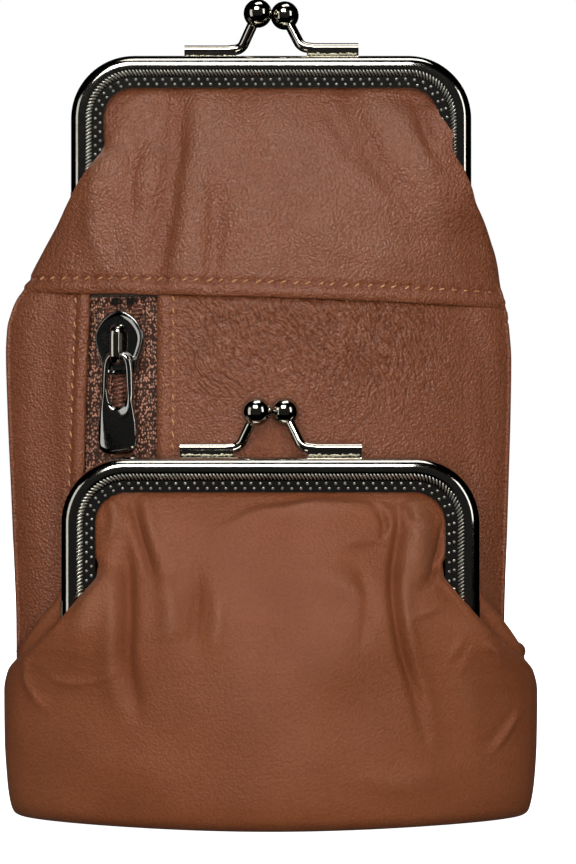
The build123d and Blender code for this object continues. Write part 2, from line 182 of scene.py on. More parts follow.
def relief(x, z, folds):
    """Height of leather folds over points (x, z). A fold is (points, width, height), with height below zero
    in a valley, and a lean may follow: how much of a softer ridge, the other way up, runs along the line's
    left, or its right when it is negative."""
    total = np.zeros_like(x)
    for points, width, height, *lean in folds:
        line = smooth_line(points)
        best = np.full(x.shape, 1e9)
        side = np.zeros_like(x)
        along = np.zeros_like(x)
        run = np.concatenate([[0], np.cumsum(np.linalg.norm(np.diff(line, axis=0), axis=1))])
        for a, b, start in zip(line[:-1], line[1:], run):
            d = b - a
            length = math.hypot(*d)
            t = np.clip(((x - a[0]) * d[0] + (z - a[1]) * d[1]) / length**2, 0, 1)
            px, pz = x - a[0] - t * d[0], z - a[1] - t * d[1]
            distance = np.hypot(px, pz)
            closer = distance < best
            best = np.where(closer, distance, best)
            cross = (d[0] * pz - d[1] * px) / length
            side = np.where(closer, cross, side)
            along = np.where(closer, (start + t * length) / run[-1], along)
        fade = np.sqrt(np.clip(np.sin(math.pi * np.clip(along, 0.02, 0.98)), 0, 1))
        total += height * fade * np.exp(-((best / width) ** 2))
        for amount in lean:
            beyond = side * math.copysign(1, amount) - 1.9 * width
            lateral = np.hypot(beyond, np.sqrt(np.maximum(best**2 - side**2, 0)))
            total -= abs(amount) * height * fade * np.exp(-((lateral / (1.4 * width)) ** 2))
    return total


# ---- Making meshes ----


def new_object(name, data):
    """An object in the scene for some mesh, light or camera data."""
    thing = bpy.data.objects.new(name, data)
    bpy.context.scene.collection.objects.link(thing)
    return thing


def new_mesh(name, points, faces, material, attributes=None):
    """A smooth mesh object from millimetre points, holding its rest coordinates for its material."""
    points = np.asarray(points, float) * MM
    mesh = bpy.data.meshes.new(name)
    mesh.from_pydata(points.tolist(), [], faces)
    mesh.update()
    mesh.polygons.foreach_set("use_smooth", np.ones(len(mesh.polygons), bool))
    layer = mesh.attributes.new("rest", "FLOAT_VECTOR", "POINT")
    layer.data.foreach_set("vector", points.astype(np.float32).ravel())
    for key, values in (attributes or {}).items():
        layer = mesh.attributes.new(key, "FLOAT", "POINT")
        layer.data.foreach_set("value", np.asarray(values, np.float32))
    mesh.materials.append(material)
    return new_object(name, mesh)


def grid_faces(rows, columns, across=False, around=False, start=0):
    """Quads of a grid of points. across joins its last column to its first, and around its last row."""
    i = np.arange(rows if around else rows - 1)[:, None]
    j = np.arange(columns if across else columns - 1)[None, :]
    i2, j2 = (i + 1) % rows, (j + 1) % columns
    quads = np.stack([i * columns + j, i * columns + j2, i2 * columns + j2, i2 * columns + j], axis=-1)
    return (quads.reshape(-1, 4) + start).tolist()


def grid_normals(points):
    """Unit normals of a grid of points whose columns run along one way and rows along the other."""
    across = np.gradient(points, axis=1)
    up = np.gradient(points, axis=0)
    n = np.cross(across, up)
    return n / np.maximum(np.linalg.norm(n, axis=-1, keepdims=True), 1e-9)


def hide(name, points, material, thickness=1.0, keep=None, painted_light_relief=None, mask=None):
    """A sheet of leather or cloth with a rounded rim. points is a grid of its outer surface, facing out.
    keep says which of the grid's quads exist. The relief argument sets the painted shade in the valleys and
    the painted sheen on the ridges, and mask is where the fine creases are."""
    rows, columns = points.shape[:2]
    normal = grid_normals(points)
    keep = np.ones((rows - 1, columns - 1), bool) if keep is None else keep
    used = np.zeros((rows, columns), bool)
    middle = np.zeros((rows, columns, 3))
    weight = np.zeros((rows, columns, 1))
    centre = (points[:-1, :-1] + points[1:, :-1] + points[:-1, 1:] + points[1:, 1:]) / 4
    for a in (0, 1):
        for b in (0, 1):
            here = (slice(a, rows - 1 + a), slice(b, columns - 1 + b))
            used[here] |= keep
            middle[here] += centre * keep[..., None]
            weight[here] += keep[..., None]
    index = np.full((rows, columns), -1)
    index[used] = np.arange(used.sum())
    outer = points[used]
    inner = (points - normal * thickness)[used]
    count = len(outer)
    i, j = np.nonzero(keep)
    quads = np.stack([index[i, j], index[i, j + 1], index[i + 1, j + 1], index[i + 1, j]], axis=1)
    faces = quads.tolist() + (quads[:, ::-1] + count).tolist()
    # The rim goes round each edge that only one quad has, as half a circle
    directed = np.concatenate([quads[:, [k, (k + 1) % 4]] for k in range(4)])
    code = directed[:, 0] * count + directed[:, 1]
    back = directed[:, 1] * count + directed[:, 0]
    rim = directed[~np.isin(code, back)]
    at_rim = np.unique(rim)
    outward = outer - (middle / np.maximum(weight, 1))[used]
    n = normal[used]
    outward -= (outward * n).sum(1, keepdims=True) * n
    outward /= np.maximum(np.linalg.norm(outward, axis=1, keepdims=True), 1e-9)
    rings = []
    for angle in (math.pi / 4, math.pi / 2, 3 * math.pi / 4):
        bulge = n * math.cos(angle) + outward * math.sin(angle) * 0.8
        rings.append(((outer + inner) / 2 + bulge * thickness / 2)[at_rim])
    place = np.full(count, -1)
    place[at_rim] = np.arange(len(at_rim))
    own = np.arange(count)
    loops = [own, *[2 * count + k * len(at_rim) + place for k in range(len(rings))], own + count]
    for first, second in zip(loops[:-1], loops[1:]):
        strip = np.stack([first[rim[:, 1]], first[rim[:, 0]], second[rim[:, 0]], second[rim[:, 1]]], axis=1)
        faces += strip.tolist()
    every = np.vstack([outer, inner, *rings])

    def spread(values):
        flat = np.zeros(count) if values is None else values[used]
        return np.concatenate([flat, flat, *[flat[at_rim]] * len(rings)])

    return new_mesh(name, every, faces, material, attributes={"painted_light_relief": spread(painted_light_relief), "mask": spread(mask)})


def closed_grid(name, points, material):
    """A closed body from rings of points, with both ends filled by a centre point."""
    rings, around = points.shape[:2]
    flat = points.reshape(-1, 3)
    ends = np.array([points[0].mean(0), points[-1].mean(0)])
    faces = grid_faces(rings, around, across=True)
    last = rings * around
    for k in range(around):
        after = (k + 1) % around
        faces.append([last, after, k])
        faces.append([last + 1, (rings - 1) * around + k, (rings - 1) * around + after])
    return new_mesh(name, np.vstack([flat, ends]), faces, material)


def tube_rings(line, side, half_side, half_up, sides=16, square=2.6):
    """Rings of a rounded bar along a line, with its section's width along side."""
    line = np.array(line, float)
    tangent = np.gradient(line, axis=0)
    tangent /= np.linalg.norm(tangent, axis=1, keepdims=True)
    side = np.broadcast_to(np.array(side, float), line.shape)
    side = side - (side * tangent).sum(1, keepdims=True) * tangent
    side /= np.linalg.norm(side, axis=1, keepdims=True)
    up = np.cross(tangent, side)
    angle = np.arange(sides) * FULL_TURN / sides
    c, s = np.cos(angle), np.sin(angle)
    a = np.sign(c) * np.abs(c) ** (2 / square)
    b = np.sign(s) * np.abs(s) ** (2 / square)
    wide = side[:, None] * a[None, :, None] * np.broadcast_to(half_side, len(line))[:, None, None]
    high = up[:, None] * b[None, :, None] * np.broadcast_to(half_up, len(line))[:, None, None]
    return line[:, None] + wide + high


def tree_of(piece):
    """A search tree over a piece's mesh, in millimetres, for finding its surface."""
    vertices = [v.co / MM for v in piece.data.vertices]
    return BVHTree.FromPolygons(vertices, [tuple(p.vertices) for p in piece.data.polygons])


def on_surface(tree, x, z, front=True):
    """The surface point and normal in front of (x, z), or behind it for the back."""
    way = 1 if front else -1
    point, normal, _, _ = tree.ray_cast(Vector((x, -80 * way, z)), Vector((0, way, 0)))
    if point is None:
        return None
    return np.array(point), np.array(normal)


def attach(piece, slot, body, *nodes):
    """Puts a piece on the body that it rides on, in place of any CAD nodes named. slot is not used."""
    if nodes:
        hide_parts(*nodes)
    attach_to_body(piece, body)


def attach_across(piece, slot, hinge, half, reach, *nodes):
    """Bakes a piece's place into its mesh, in place of the CAD nodes named. reach is not used."""
    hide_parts(*nodes)
    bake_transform(piece)


# ---- Materials ----


class Shader:
    """A node material being put together."""

    def __init__(self, name):
        self.material = bpy.data.materials.new(name)
        self.material.use_nodes = True
        self.tree = self.material.node_tree
        self.surface = self.tree.nodes["Principled BSDF"]

    def add(self, kind, inputs=(), **settings):
        node = self.tree.nodes.new("ShaderNode" + kind)
        for key, value in settings.items():
            setattr(node, key, value)
        for key, value in dict(inputs).items():
            self.put(node.inputs[key], value)
        return node

    def put(self, socket, value):
        if isinstance(value, bpy.types.NodeSocket):
            self.tree.links.new(value, socket)
        else:
            socket.default_value = value

    def times(self, a, b, clamp=False):
        return self.add("Math", {0: a, 1: b}, operation="MULTIPLY", use_clamp=clamp).outputs[0]

    def plus(self, a, b):
        return self.add("Math", {0: a, 1: b}, operation="ADD").outputs[0]

    def mix(self, factor, a, b):
        return self.add("Mix", {0: factor, 6: a, 7: b}, data_type="RGBA").outputs[2]

    def ramp(self, value, low, high):
        """0 below low and 1 above high, smoothly."""
        inputs = {"Value": value, "From Min": low, "From Max": high}
        return self.add("MapRange", inputs, interpolation_type="SMOOTHSTEP").outputs["Result"]

    def rest(self):
        """Where the surface was made, in metres, so that a pattern stays on it as it moves."""
        return self.add("Attribute", attribute_name="rest").outputs["Vector"]

    def value(self, name):
        return self.add("Attribute", attribute_name=name).outputs["Fac"]

    def noise(self, place, scale, detail=3.0, roughness=0.55):
        inputs = {"Vector": place, "Scale": scale, "Detail": detail, "Roughness": roughness}
        return self.add("TexNoise", inputs).outputs["Fac"]

    def warped(self, place, scale, amount):
        """Coordinates pushed about by a soft noise, by up to about half that amount each way."""
        push = self.add("TexNoise", {"Vector": place, "Scale": scale, "Detail": 2.0}).outputs["Color"]
        push = self.add("VectorMath", {0: push, 1: (-0.5, -0.5, -0.5)}, operation="ADD").outputs[0]
        push = self.add("VectorMath", {0: push, "Scale": amount}, operation="SCALE").outputs[0]
        return self.add("VectorMath", {0: place, 1: push}, operation="ADD").outputs[0]

    def cells(self, place, scale, randomness=1.0):
        inputs = {"Vector": place, "Scale": scale, "Randomness": randomness}
        return self.add("TexVoronoi", inputs).outputs["Distance"]

    def bump(self, height, distance, strength):
        bump = self.add("Bump", {"Height": height, "Distance": distance, "Strength": strength})
        self.put(self.surface.inputs["Normal"], bump.outputs["Normal"])

    def finish(self, colour, roughness):
        self.put(self.surface.inputs["Base Color"], colour)
        self.put(self.surface.inputs["Roughness"], roughness)
        return self.material


def tinted(base, red, green, blue):
    """A colour with its channels multiplied, as the four numbers that a node takes."""
    return (base[0] * red, base[1] * green, base[2] * blue, 1)


def leather_material(name, base, grain, creases=0.0, shine=0.5, roughness=0.33):
    """Soft dyed leather: pebbled grain and finer pores, with painted sheen on the ridges and painted shade in
    the valleys, in the grain's pits and in the fine creases.
    """
    s = Shader(name)
    place = s.rest()
    cloud = s.noise(place, 55, 4)
    blotch = s.noise(place, 260, 3)
    painted_light_relief = s.value("painted_light_relief")
    # A darker copy of the leather for painted shade, and a paler pinker copy for painted sheen
    painted_shade_colour = tinted(base, 0.55, 0.42, 0.3)
    painted_sheen = tinted(base, 1.25, 1.75, 2.5)
    colour = s.mix(s.ramp(cloud, 0.3, 0.72), tinted(base, 0.94, 0.91, 0.88), tinted(base, 1.12, 1.16, 1.22))
    colour = s.mix(s.times(s.ramp(blotch, 0.45, 0.75), 0.3), colour, tinted(base, 1, 0.92, 0.86))
    # Painted shade in the relief's valleys and painted sheen on its ridges
    painted_valley_shade = s.times(s.ramp(s.times(painted_light_relief, -1.0), 0.05, 0.9), 0.8)
    colour = s.mix(painted_valley_shade, colour, tinted(base, 0.8, 0.68, 0.52))
    colour = s.mix(s.times(s.ramp(painted_light_relief, 0.15, 1.0), 0.35), colour, painted_sheen)
    pebble = s.cells(s.warped(place, 1000, 0.0005), 2000)
    # Painted shade in the pits between the pebbles of the grain
    painted_pit_shade = s.times(s.ramp(pebble, 0.42, 0.72), 0.4 * grain)
    colour = s.mix(painted_pit_shade, colour, painted_shade_colour)
    pores = s.noise(place, 3000, 2)
    swell = s.noise(place, 420, 3)
    height = s.plus(s.times(pebble, -1.0 * grain), s.times(pores, 0.25))
    height = s.plus(height, s.times(swell, 0.25 * grain))
    if creases:
        bent = s.warped(place, 90, 0.006)
        turned = s.add("Mapping", {"Vector": bent, "Rotation": (0, math.radians(26), 0)}).outputs[0]
        line = s.cells(s.add("Mapping", {"Vector": turned, "Scale": (1, 1, 0.42)}).outputs[0], 1350)
        mask = s.value("mask")
        height = s.plus(height, s.times(s.times(line, -creases), mask))
        # Painted sheen on the crease ridges and painted shade in their hollows
        colour = s.mix(s.times(s.ramp(line, 0.42, 0.1), s.times(mask, 0.4)), colour, painted_sheen)
        colour = s.mix(s.times(s.ramp(line, 0.4, 0.7), s.times(mask, 0.55)), colour, painted_shade_colour)
    s.bump(height, 0.0002, 1.0)
    rough = s.plus(roughness, s.times(s.noise(place, 700, 3), 0.12))
    rough = s.plus(rough, s.times(s.times(painted_light_relief, -1.0, clamp=True), 0.2))
    s.surface.inputs["Sheen Weight"].default_value = 0.05
    s.surface.inputs["Sheen Roughness"].default_value = 0.45
    s.surface.inputs["Sheen Tint"].default_value = (0.95, 0.72, 0.62, 1)
    s.surface.inputs["Specular IOR Level"].default_value = shine
    return s.finish(colour, rough)


def nickel_material(name, base, roughness, tarnish):
    """Plated metal: fine polishing haze, with a darker and duller film here and there."""
    s = Shader(name)
    place = s.add("TexCoord").outputs["Object"]
    haze = s.noise(place, 900, 3)
    film = s.ramp(s.noise(place, 160, 4, 0.65), 0.42, 0.72)
    colour = s.mix(s.times(film, tarnish), tinted(base, 1, 1, 1), tinted(base, 0.66, 0.62, 0.5))
    rough = s.plus(roughness, s.times(haze, 0.03))
    rough = s.plus(rough, s.times(film, 0.1 * tarnish))
    s.bump(s.noise(place, 1400, 2), 0.000012, 0.6)
    s.surface.inputs["Metallic"].default_value = 1.0
    return s.finish(colour, rough)


def cloth_material(name, base, crown_highlight, scale, amount=0.6, loose=0.35):
    """Woven cloth: crossed threads, with painted highlight on their crowns."""
    s = Shader(name)
    place = s.add("Mapping", {"Vector": s.rest(), "Scale": (1, 1, 0.72)}).outputs[0]
    crown = s.ramp(s.cells(place, scale, randomness=loose), 0.55, 0.2)
    patch = s.ramp(s.noise(place, scale * 0.35, 3), 0.3, 0.6)
    shade = s.noise(place, 90, 3)
    # Painted highlight on the thread crowns
    colour = s.mix(s.times(crown, s.plus(0.35, s.times(patch, amount))), (*base, 1), (*crown_highlight, 1))
    colour = s.mix(s.times(s.ramp(shade, 0.4, 0.8), 0.3), colour, tinted(base, 0.5, 0.5, 0.5))
    s.bump(crown, 0.0001, 0.9)
    s.surface.inputs["Sheen Weight"].default_value = 0.25
    s.surface.inputs["Specular IOR Level"].default_value = 0.3
    return s.finish(colour, 0.8)


def thread_material(name, base, roughness):
    """Twisted thread, or a zip's coiled filament, with painted shade between its strands."""
    s = Shader(name)
    place = s.rest()
    twist = s.noise(place, 3500, 2)
    # Painted shade between the strands
    colour = s.mix(s.ramp(twist, 0.35, 0.7), tinted(base, 0.55, 0.45, 0.35), tinted(base, 1, 1, 1))
    s.bump(twist, 0.00005, 0.8)
    return s.finish(colour, roughness)


LEATHER = (0.18, 0.054, 0.02)
leather = leather_material("leather", LEATHER, 1.0, creases=2.0)
leather_smooth = leather_material("leather_smooth", LEATHER, 0.5, shine=0.2, roughness=0.4)
leather_edge = leather_material("leather_edge", (0.13, 0.036, 0.012), 0.5)
nickel = nickel_material("nickel", (0.5, 0.475, 0.42), 0.075, 0.35)
# The ticks and dots get a paler copy of the frame's nickel, painted brighter so that they shine white
nickel_trim_painted_bright = nickel_material("nickel_trim_painted_bright", (0.9, 0.88, 0.82), 0.3, 0.1)
nickel_ball = nickel_material("nickel_ball", (0.54, 0.51, 0.44), 0.07, 0.3)
solder = nickel_material("solder", (0.9, 0.84, 0.64), 0.34, 0.5)
gunmetal = nickel_material("gunmetal", (0.38, 0.37, 0.35), 0.08, 0.4)
lining_cloth = cloth_material("lining_cloth", (0.055, 0.036, 0.026), (0.15, 0.1, 0.075), 2600)
tape_cloth = cloth_material("tape_cloth", (0.035, 0.012, 0.006), (0.52, 0.25, 0.16), 2300, 1.0, 0.8)
coil_plastic = thread_material("coil_plastic", (0.22, 0.09, 0.06), 0.3)
thread = thread_material("thread", (0.62, 0.33, 0.14), 0.5)

# ---- Leather skins ----


def row_values(rows, count):
    """Rows of (z, half width, edge y, middle y, roundness), spread evenly along the skin's own length."""
    rows = np.array(rows, float)
    run = np.concatenate([[0], np.cumsum(np.hypot(np.diff(rows[:, 0]), np.diff(rows[:, 3])))])
    at = np.linspace(0, run[-1], count)
    return [through(np.stack([run, rows[:, k]], axis=1), at) for k in range(rows.shape[1])]


def skin(rows, hinge, count, columns, back=False, belly=None, shift=None, right=None):
    """A grid of points across a pouch wall that faces the front, or its mirror image that faces the back.
    belly is (height, amount): below that height the sides bulge out past the seam. shift leans the
    wall sideways, as (height, distance) points. right is (height, extra width, edge y) where the right edge
    runs its own way."""
    z, half, edge, middle, roundness = [v[:, None] for v in row_values(rows, count)]
    t = crowded(columns)[None, :]
    arch = (1 - roundness) * (1 - t**2) + roundness * half_round(t)
    across = t + 0 * z
    if belly:
        high, amount = belly
        amount = amount * smoothstep(high, high - 8, z)
        across = t * (1 + amount * t**2 * half_round(t))
        across = across / np.max(across, axis=1, keepdims=True)
    if right:
        extra = through([(r[0], r[1]) for r in right], z)
        half = half + extra * (t > 0)
        own = smoothstep(right[0][0] - 3, right[0][0], z) * smoothstep(right[-1][0] + 0.1, right[-1][0], z)
        own_edge = through([(r[0], r[2]) for r in right], z)
        edge = np.where(t > 0, edge + (own_edge - edge) * own, edge)
    x = half * across
    if shift:
        x = x + through(shift, z + hinge[2])
    grid = xyz(x, edge + (middle - edge) * arch, z)
    if back:
        grid = grid[:, ::-1] * (1, -1, 1)
    return grid + np.array([0, hinge[1], hinge[2]])


def raise_by(grid, height):
    """The grid pushed out along its normals."""
    return grid + grid_normals(grid) * height[..., None]


CORNER_X = 26.0
CORNER_Z = 21.0
SLOT_HALF = 32.3
SLOT_OUT = -2.1


def slot_rows(middles):
    """Rows of a skin inside its frame's opening, up into the slot. middles is (z, y) at mid-width."""
    rows = []
    reach = SLOT_HALF - CORNER_X
    for z, y in middles:
        over = max(z - CORNER_Z, 0)
        half = CORNER_X + math.sqrt(max(reach**2 - over**2, 0))
        rows.append((z, half, SLOT_OUT, y, 0.35))
    return rows


MAIN_YOKE = [
    (-13.3, 45.2, 0.0, -13.0, 0.3),
    (-10.0, 44.5, 0.0, -12.7, 0.35),
    (-6.5, 43.6, 0.0, -12.2, 0.45),
    (-3.0, 42.4, -0.2, -11.7, 0.6),
    (1.0, 40.6, -1.8, -11.1, 0.72),
    (5.0, 38.4, -4.2, -10.3, 0.7),
    (8.0, 36.6, -5.2, -9.7, 0.64),
    (10.5, 34.6, -5.4, -9.1, 0.58),
    (12.5, 32.8, -5.2, -8.4, 0.52),
    (14.2, 31.5, -4.2, -7.8, 0.46),
    (16.2, 31.2, -2.8, -7.0, 0.42),
    *slot_rows([(18.5, -6.1), (20.5, -5.2), (22.5, -4.1), (24.6, -3.1), (26.2, -2.4), (27.3, -2.1)]),
]
YOKE_RIGHT = [
    (-13.3, 1.3, 0.0),
    (-9.0, 0.8, 0.0),
    (-3.0, 0.4, -0.2),
    (1.0, 0.2, -1.8),
    (4.0, 0.2, -3.8),
    (8.0, 1.2, -5.3),
    (12.5, 2.7, -5.5),
    (16.2, 3.0, -5.6),
    (19.4, 1.0, -5.4),
    (22.0, -0.5, -4.4),
    (23.8, -0.4, -2.8),
    (25.0, 0.0, -2.1),
]
COIN_SKIN = [
    (-33.6, 42.5, 11.2, 2.0, 0.3),
    (-34.0, 45.6, 11.9, -5.0, 0.3),
    (-33.9, 46.8, 12.3, -8.4, 0.45),
    (-33.2, 47.9, 12.5, -10.2, 0.6),
    (-31.4, 48.5, 12.7, -11.6, 0.72),
    (-27.0, 49.1, 12.7, -12.4, 0.78),
    (-20.0, 49.5, 12.7, -12.9, 0.82),
    (-10.4, 49.6, 12.6, -13.0, 0.82),
    (-6.8, 48.8, 9.4, -12.9, 0.82),
    (-4.0, 46.6, 3.4, -12.7, 0.82),
    (-1.0, 42.6, -2.4, -12.4, 0.8),
    (3.3, 38.4, -5.2, -12.0, 0.76),
    (6.5, 35.6, -5.4, -11.4, 0.7),
    (9.6, 32.8, -5.4, -10.8, 0.62),
    (11.6, 31.3, -4.4, -10.2, 0.55),
    (13.6, 31.2, -2.8, -9.4, 0.5),
    *slot_rows([(16.0, -8.6), (18.5, -7.6), (21.0, -6.3), (23.2, -4.7)]),
    *slot_rows([(25.0, -3.3), (26.4, -2.4), (27.3, -2.1)]),
]

YOKE_FOLDS = [
    ([(-17.4, 139), (-18.2, 124), (-19.8, 111), (-22.4, 95)], 2.3, -1.15, 0.35),
    ([(-10.2, 119), (-10.4, 108), (-11.4, 96)], 1.8, -0.75),
    ([(-26.6, 131), (-30.2, 124), (-32.6, 117), (-32.8, 108), (-30, 101)], 2.4, 0.9),
    ([(-24.8, 126), (-26.4, 119), (-26.0, 111)], 1.6, -0.6),
    ([(13, 139), (16, 130), (20.2, 121.5), (26, 115)], 2.5, -1.1, 0.3),
    ([(10.4, 134), (13, 128), (16, 122)], 1.6, -0.5),
    ([(23, 132), (27, 126), (31, 119)], 2.0, 0.6),
    ([(27.2, 135), (28.6, 130), (30.4, 124)], 1.2, -0.6),
    ([(4, 111), (14, 106), (28, 104)], 2.8, 0.4),
    ([(-4, 135), (-3.4, 127), (-4, 118)], 2.2, -0.35),
    ([(-30, 131), (-26, 134), (-20, 136)], 1.4, 0.4),
]
BACK_YOKE_FOLDS = [
    ([(21, 133), (20, 120), (19, 101)], 2.8, -0.7, 0.4),
    ([(-24, 128), (-29, 117), (-35, 106)], 2.2, -0.8, 0.4),
    ([(33, 124), (36, 113), (40, 103)], 1.6, -0.7, 0.3),
    ([(2, 132), (5, 120), (3, 108)], 3.0, 0.5),
    ([(-10, 134), (-12, 124)], 2.0, -0.4),
]
COIN_FOLDS = [
    ([(-29.4, 60), (-28.0, 56.3), (-28.9, 51.8)], 1.3, 0.7),
    ([(-25.4, 61), (-24.5, 57), (-22.7, 50.5), (-20.5, 45)], 1.1, -0.85, 0.5),
    ([(-26.3, 52), (-25.7, 45), (-25.4, 38), (-25.5, 30), (-23.6, 21)], 1.5, -1.15, -0.45),
    ([(-30.4, 47), (-33, 39), (-35, 33)], 2.4, 0.6),
    ([(-19.4, 46), (-17.8, 41), (-17.6, 34)], 2.0, 0.7),
    ([(-13, 47), (-13, 40), (-14, 33)], 1.4, -0.6),
    ([(-9.6, 43), (-9.2, 38), (-10.2, 32)], 1.4, 0.55),
    ([(-8, 54.6), (-2.4, 57), (4.4, 57.8), (9.6, 58.8)], 0.9, 0.45, 0.3),
    ([(13.6, 50.2), (17.8, 51), (20.6, 50.6)], 0.8, -0.35, 0.4),
    ([(23.4, 58), (23.2, 53.6), (22, 44), (23, 35), (25.3, 26.7), (28, 17)], 1.0, -1.0, 0.4),
    ([(26.4, 60), (26.8, 52), (25.8, 44)], 2.3, 1.2),
    ([(31.6, 55), (30.6, 50), (29.2, 46), (27, 43.6)], 0.8, -0.8, 0.4),
    ([(15.8, 47.4), (17.4, 41), (16.2, 34)], 1.2, -0.45),
    ([(3, 57.8), (11, 58), (19, 58.4)], 1.2, 0.5),
    ([(24.4, 38.2), (27.4, 39.4), (31.6, 40.6)], 0.8, 0.4),
    ([(34.6, 34.6), (33.2, 32.4), (31.6, 30.6)], 0.55, 0.3),
    ([(36.8, 33), (35, 30.2), (33.8, 28.4)], 0.55, 0.25),
    ([(38.6, 33.6), (40.6, 32.0), (41.6, 29.6)], 0.6, 0.35),
    ([(45.4, 20.5), (42.6, 16.4), (39.8, 13.4)], 0.7, 0.35, -0.4),
    ([(-41.6, 29.4), (-38.6, 26.9), (-35.4, 26.3), (-31, 27), (-27, 29)], 0.55, 0.26),
    ([(-43.4, 33), (-44.4, 29.4), (-44, 25.6), (-42.2, 22.6), (-40.4, 21)], 0.7, 0.4),
    ([(15, 10), (23, 9), (31, 10.4)], 2.6, 0.4),
    ([(8, 47), (14, 44), (19, 39)], 2.4, 0.5),
    ([(31, 31), (35, 24), (38, 15)], 2.8, 0.5),
    ([(19.2, 58), (20.6, 55.4), (20.2, 52.6)], 0.7, -0.5, 0.5),
    ([(24.6, 57.4), (25.4, 55), (27.6, 54.4)], 0.6, -0.4, 0.4),
    ([(29.6, 46.4), (32.4, 44), (34.8, 42.4)], 0.7, 0.4, -0.4),
]
PANEL_FOLDS = [
    ([(-41, 88), (-43, 74), (-42, 60)], 3.0, -0.35),
    ([(38, 92), (41, 80), (42, 64)], 2.6, -0.5, 0.3),
    ([(30, 66), (35, 60), (40, 52)], 2.6, 0.4),
    ([(43, 50), (44, 40), (43, 32)], 2.0, -0.5, 0.2),
    ([(-16, 90), (-10, 84), (-2, 80)], 3.2, 0.3),
    ([(5, 93), (14, 89), (25, 88)], 3.0, 0.28),
]
BACK_PANEL_FOLDS = [
    ([(-30, 80), (-18, 60), (-14, 38)], 5.0, -0.5, 0.2),
    ([(28, 84), (33, 66), (30, 44)], 4.0, -0.5, 0.2),
    ([(-38, 30), (-20, 22), (4, 24)], 4.0, 0.4),
    ([(4, 72), (12, 58), (26, 40)], 5.0, 0.4),
]

# The soft body hangs a little to the left of its frame
BODY_SHIFT = [(0, -2.0), (40, -2.1), (85, -2.4), (92, -2.5), (94, -2.3), (97, -1.9)]
BODY_SHIFT += [(102.6, -1.2), (106, -0.8), (112, 0), (140, 0)]


def seam_edge(x):
    """Height of the yoke's folded lower edge, which runs slightly downhill to the right."""
    return MAIN_HINGE[2] - 13.1 - SEAM_SLOPE * x


def hump(value, centre, width):
    """A soft ridge of height 1 about a value."""
    return np.exp(-(((value - centre) / width) ** 2))


def edge_near(x):
    """How far across its row each point is, from 0 in the middle to 1 at the sides."""
    return np.abs(x) / np.max(np.abs(x), axis=1, keepdims=True)


def yoke(name, lining_name, folds, front):
    """The yoke of one side, from its folded lower edge up into its frame, and the search tree over it."""
    side = "front" if front else "rear"
    half = f"main_{side}_half"
    hinge = MAIN_HINGE
    grid = skin(MAIN_YOKE, hinge, 96, 250, back=not front, shift=BODY_SHIFT, right=YOKE_RIGHT)
    x, z = grid[..., 0], grid[..., 2]
    lean = (seam_edge(x) - seam_edge(0 * x)) * (1 - smoothstep(hinge[2] - 12, hinge[2] - 3, z))
    grid[..., 2] += lean
    z = grid[..., 2]
    low = z - seam_edge(x)
    height = 1.3 * relief(x, z, folds)
    height += 0.16 * waves(x, z, 12, 3) * smoothstep(hinge[2] + 27, hinge[2] + 20, z)
    gathers = 0.16 * waves(x, 0.12 * z, 8.5, 13) * smoothstep(13, 24, z - hinge[2])
    height += gathers * smoothstep(27.5, 25.5, z - hinge[2])
    # The lower edge is turned under, so it is thick, and the stitches pull a groove along it
    height *= 0.25 + 0.75 * smoothstep(1.0, 0.93, edge_near(x))
    height += 0.42 * hump(low, 0.9, 0.85) - 0.42 * hump(low, STITCH_ABOVE, 0.5)
    height += 0.18 * np.cos(x * FULL_TURN / STITCH_PITCH) * hump(low, STITCH_ABOVE, 0.6)
    height = np.maximum(height, 0.4 - LINING_GAP)
    # Painted sheen makes the middle paler than the sides and the turned edge, and painted shade runs along
    # the stitch groove
    painted_middle_sheen = (0.85 * smoothstep(0.92, 0.74, edge_near(x)) - 0.25) * smoothstep(2.6, 4.5, low)
    painted_light_relief = np.clip(height * 0.9 + painted_middle_sheen - 0.6 * hump(low, STITCH_ABOVE, 0.4), -1, 1)
    piece = hide(name, raise_by(grid, height), leather, thickness=0.8, painted_light_relief=painted_light_relief, mask=0.06 + 0 * x)
    tree = tree_of(piece)
    band = f"{'front' if front else 'back'}_yoke_band"
    attach_across(piece, "leather", hinge, half, MAIN_BLEND, band, f"main_{side}_upper", f"main_{side}_fold")

    inner = skin(MAIN_YOKE[1:-2], hinge, 34, 70, back=not front, shift=BODY_SHIFT)
    cloth = raise_by(inner, -LINING_GAP + 0.18 * waves(inner[..., 0], inner[..., 2], 9, 5))
    lining = hide(lining_name, cloth, lining_cloth, thickness=0.35)
    attach_across(lining, "lining", hinge, half, MAIN_BLEND, f"main_{side}_upper_lining")
    return tree


front_yoke = yoke("leather_yoke_front", "cloth_upper_front", YOKE_FOLDS, True)
back_yoke = yoke("leather_yoke_back", "cloth_upper_back", BACK_YOKE_FOLDS, False)

# The zip's window: the height and x of the top and bottom of its two sides
WINDOW_TOP = 98.0
WINDOW_FOOT = 34.0
WINDOW_SIDES = ((-34.3, -36.6), (-21.0, -21.2))
# Where the columns beside the window are in a row, and how far outside it each border's stitches run
WINDOW_T = (-0.665, -0.395)
BORDER_STITCH = (2.4, 2.9)
PANEL_HALF = [(0, 43.4), (0.5, 44.2), (1.4, 44.9), (3, 45.4), (6, 45.7), (36, 45.9), (48, 46.3), (62, 46.8)]
PANEL_HALF += [(76, 47.3), (86, 47.5), (91, 47.2), (94, 46.7), (96, 46.2), (98, 45.5), (101, 44.0)]
PANEL_DEPTH = [(0, 9.0), (0.5, 10.2), (1.4, 11.2), (3, 11.8), (6, 12.0), (88, 12.0), (95, 12.0)]
PANEL_DEPTH += [(98, 11.7), (101, 11.2)]


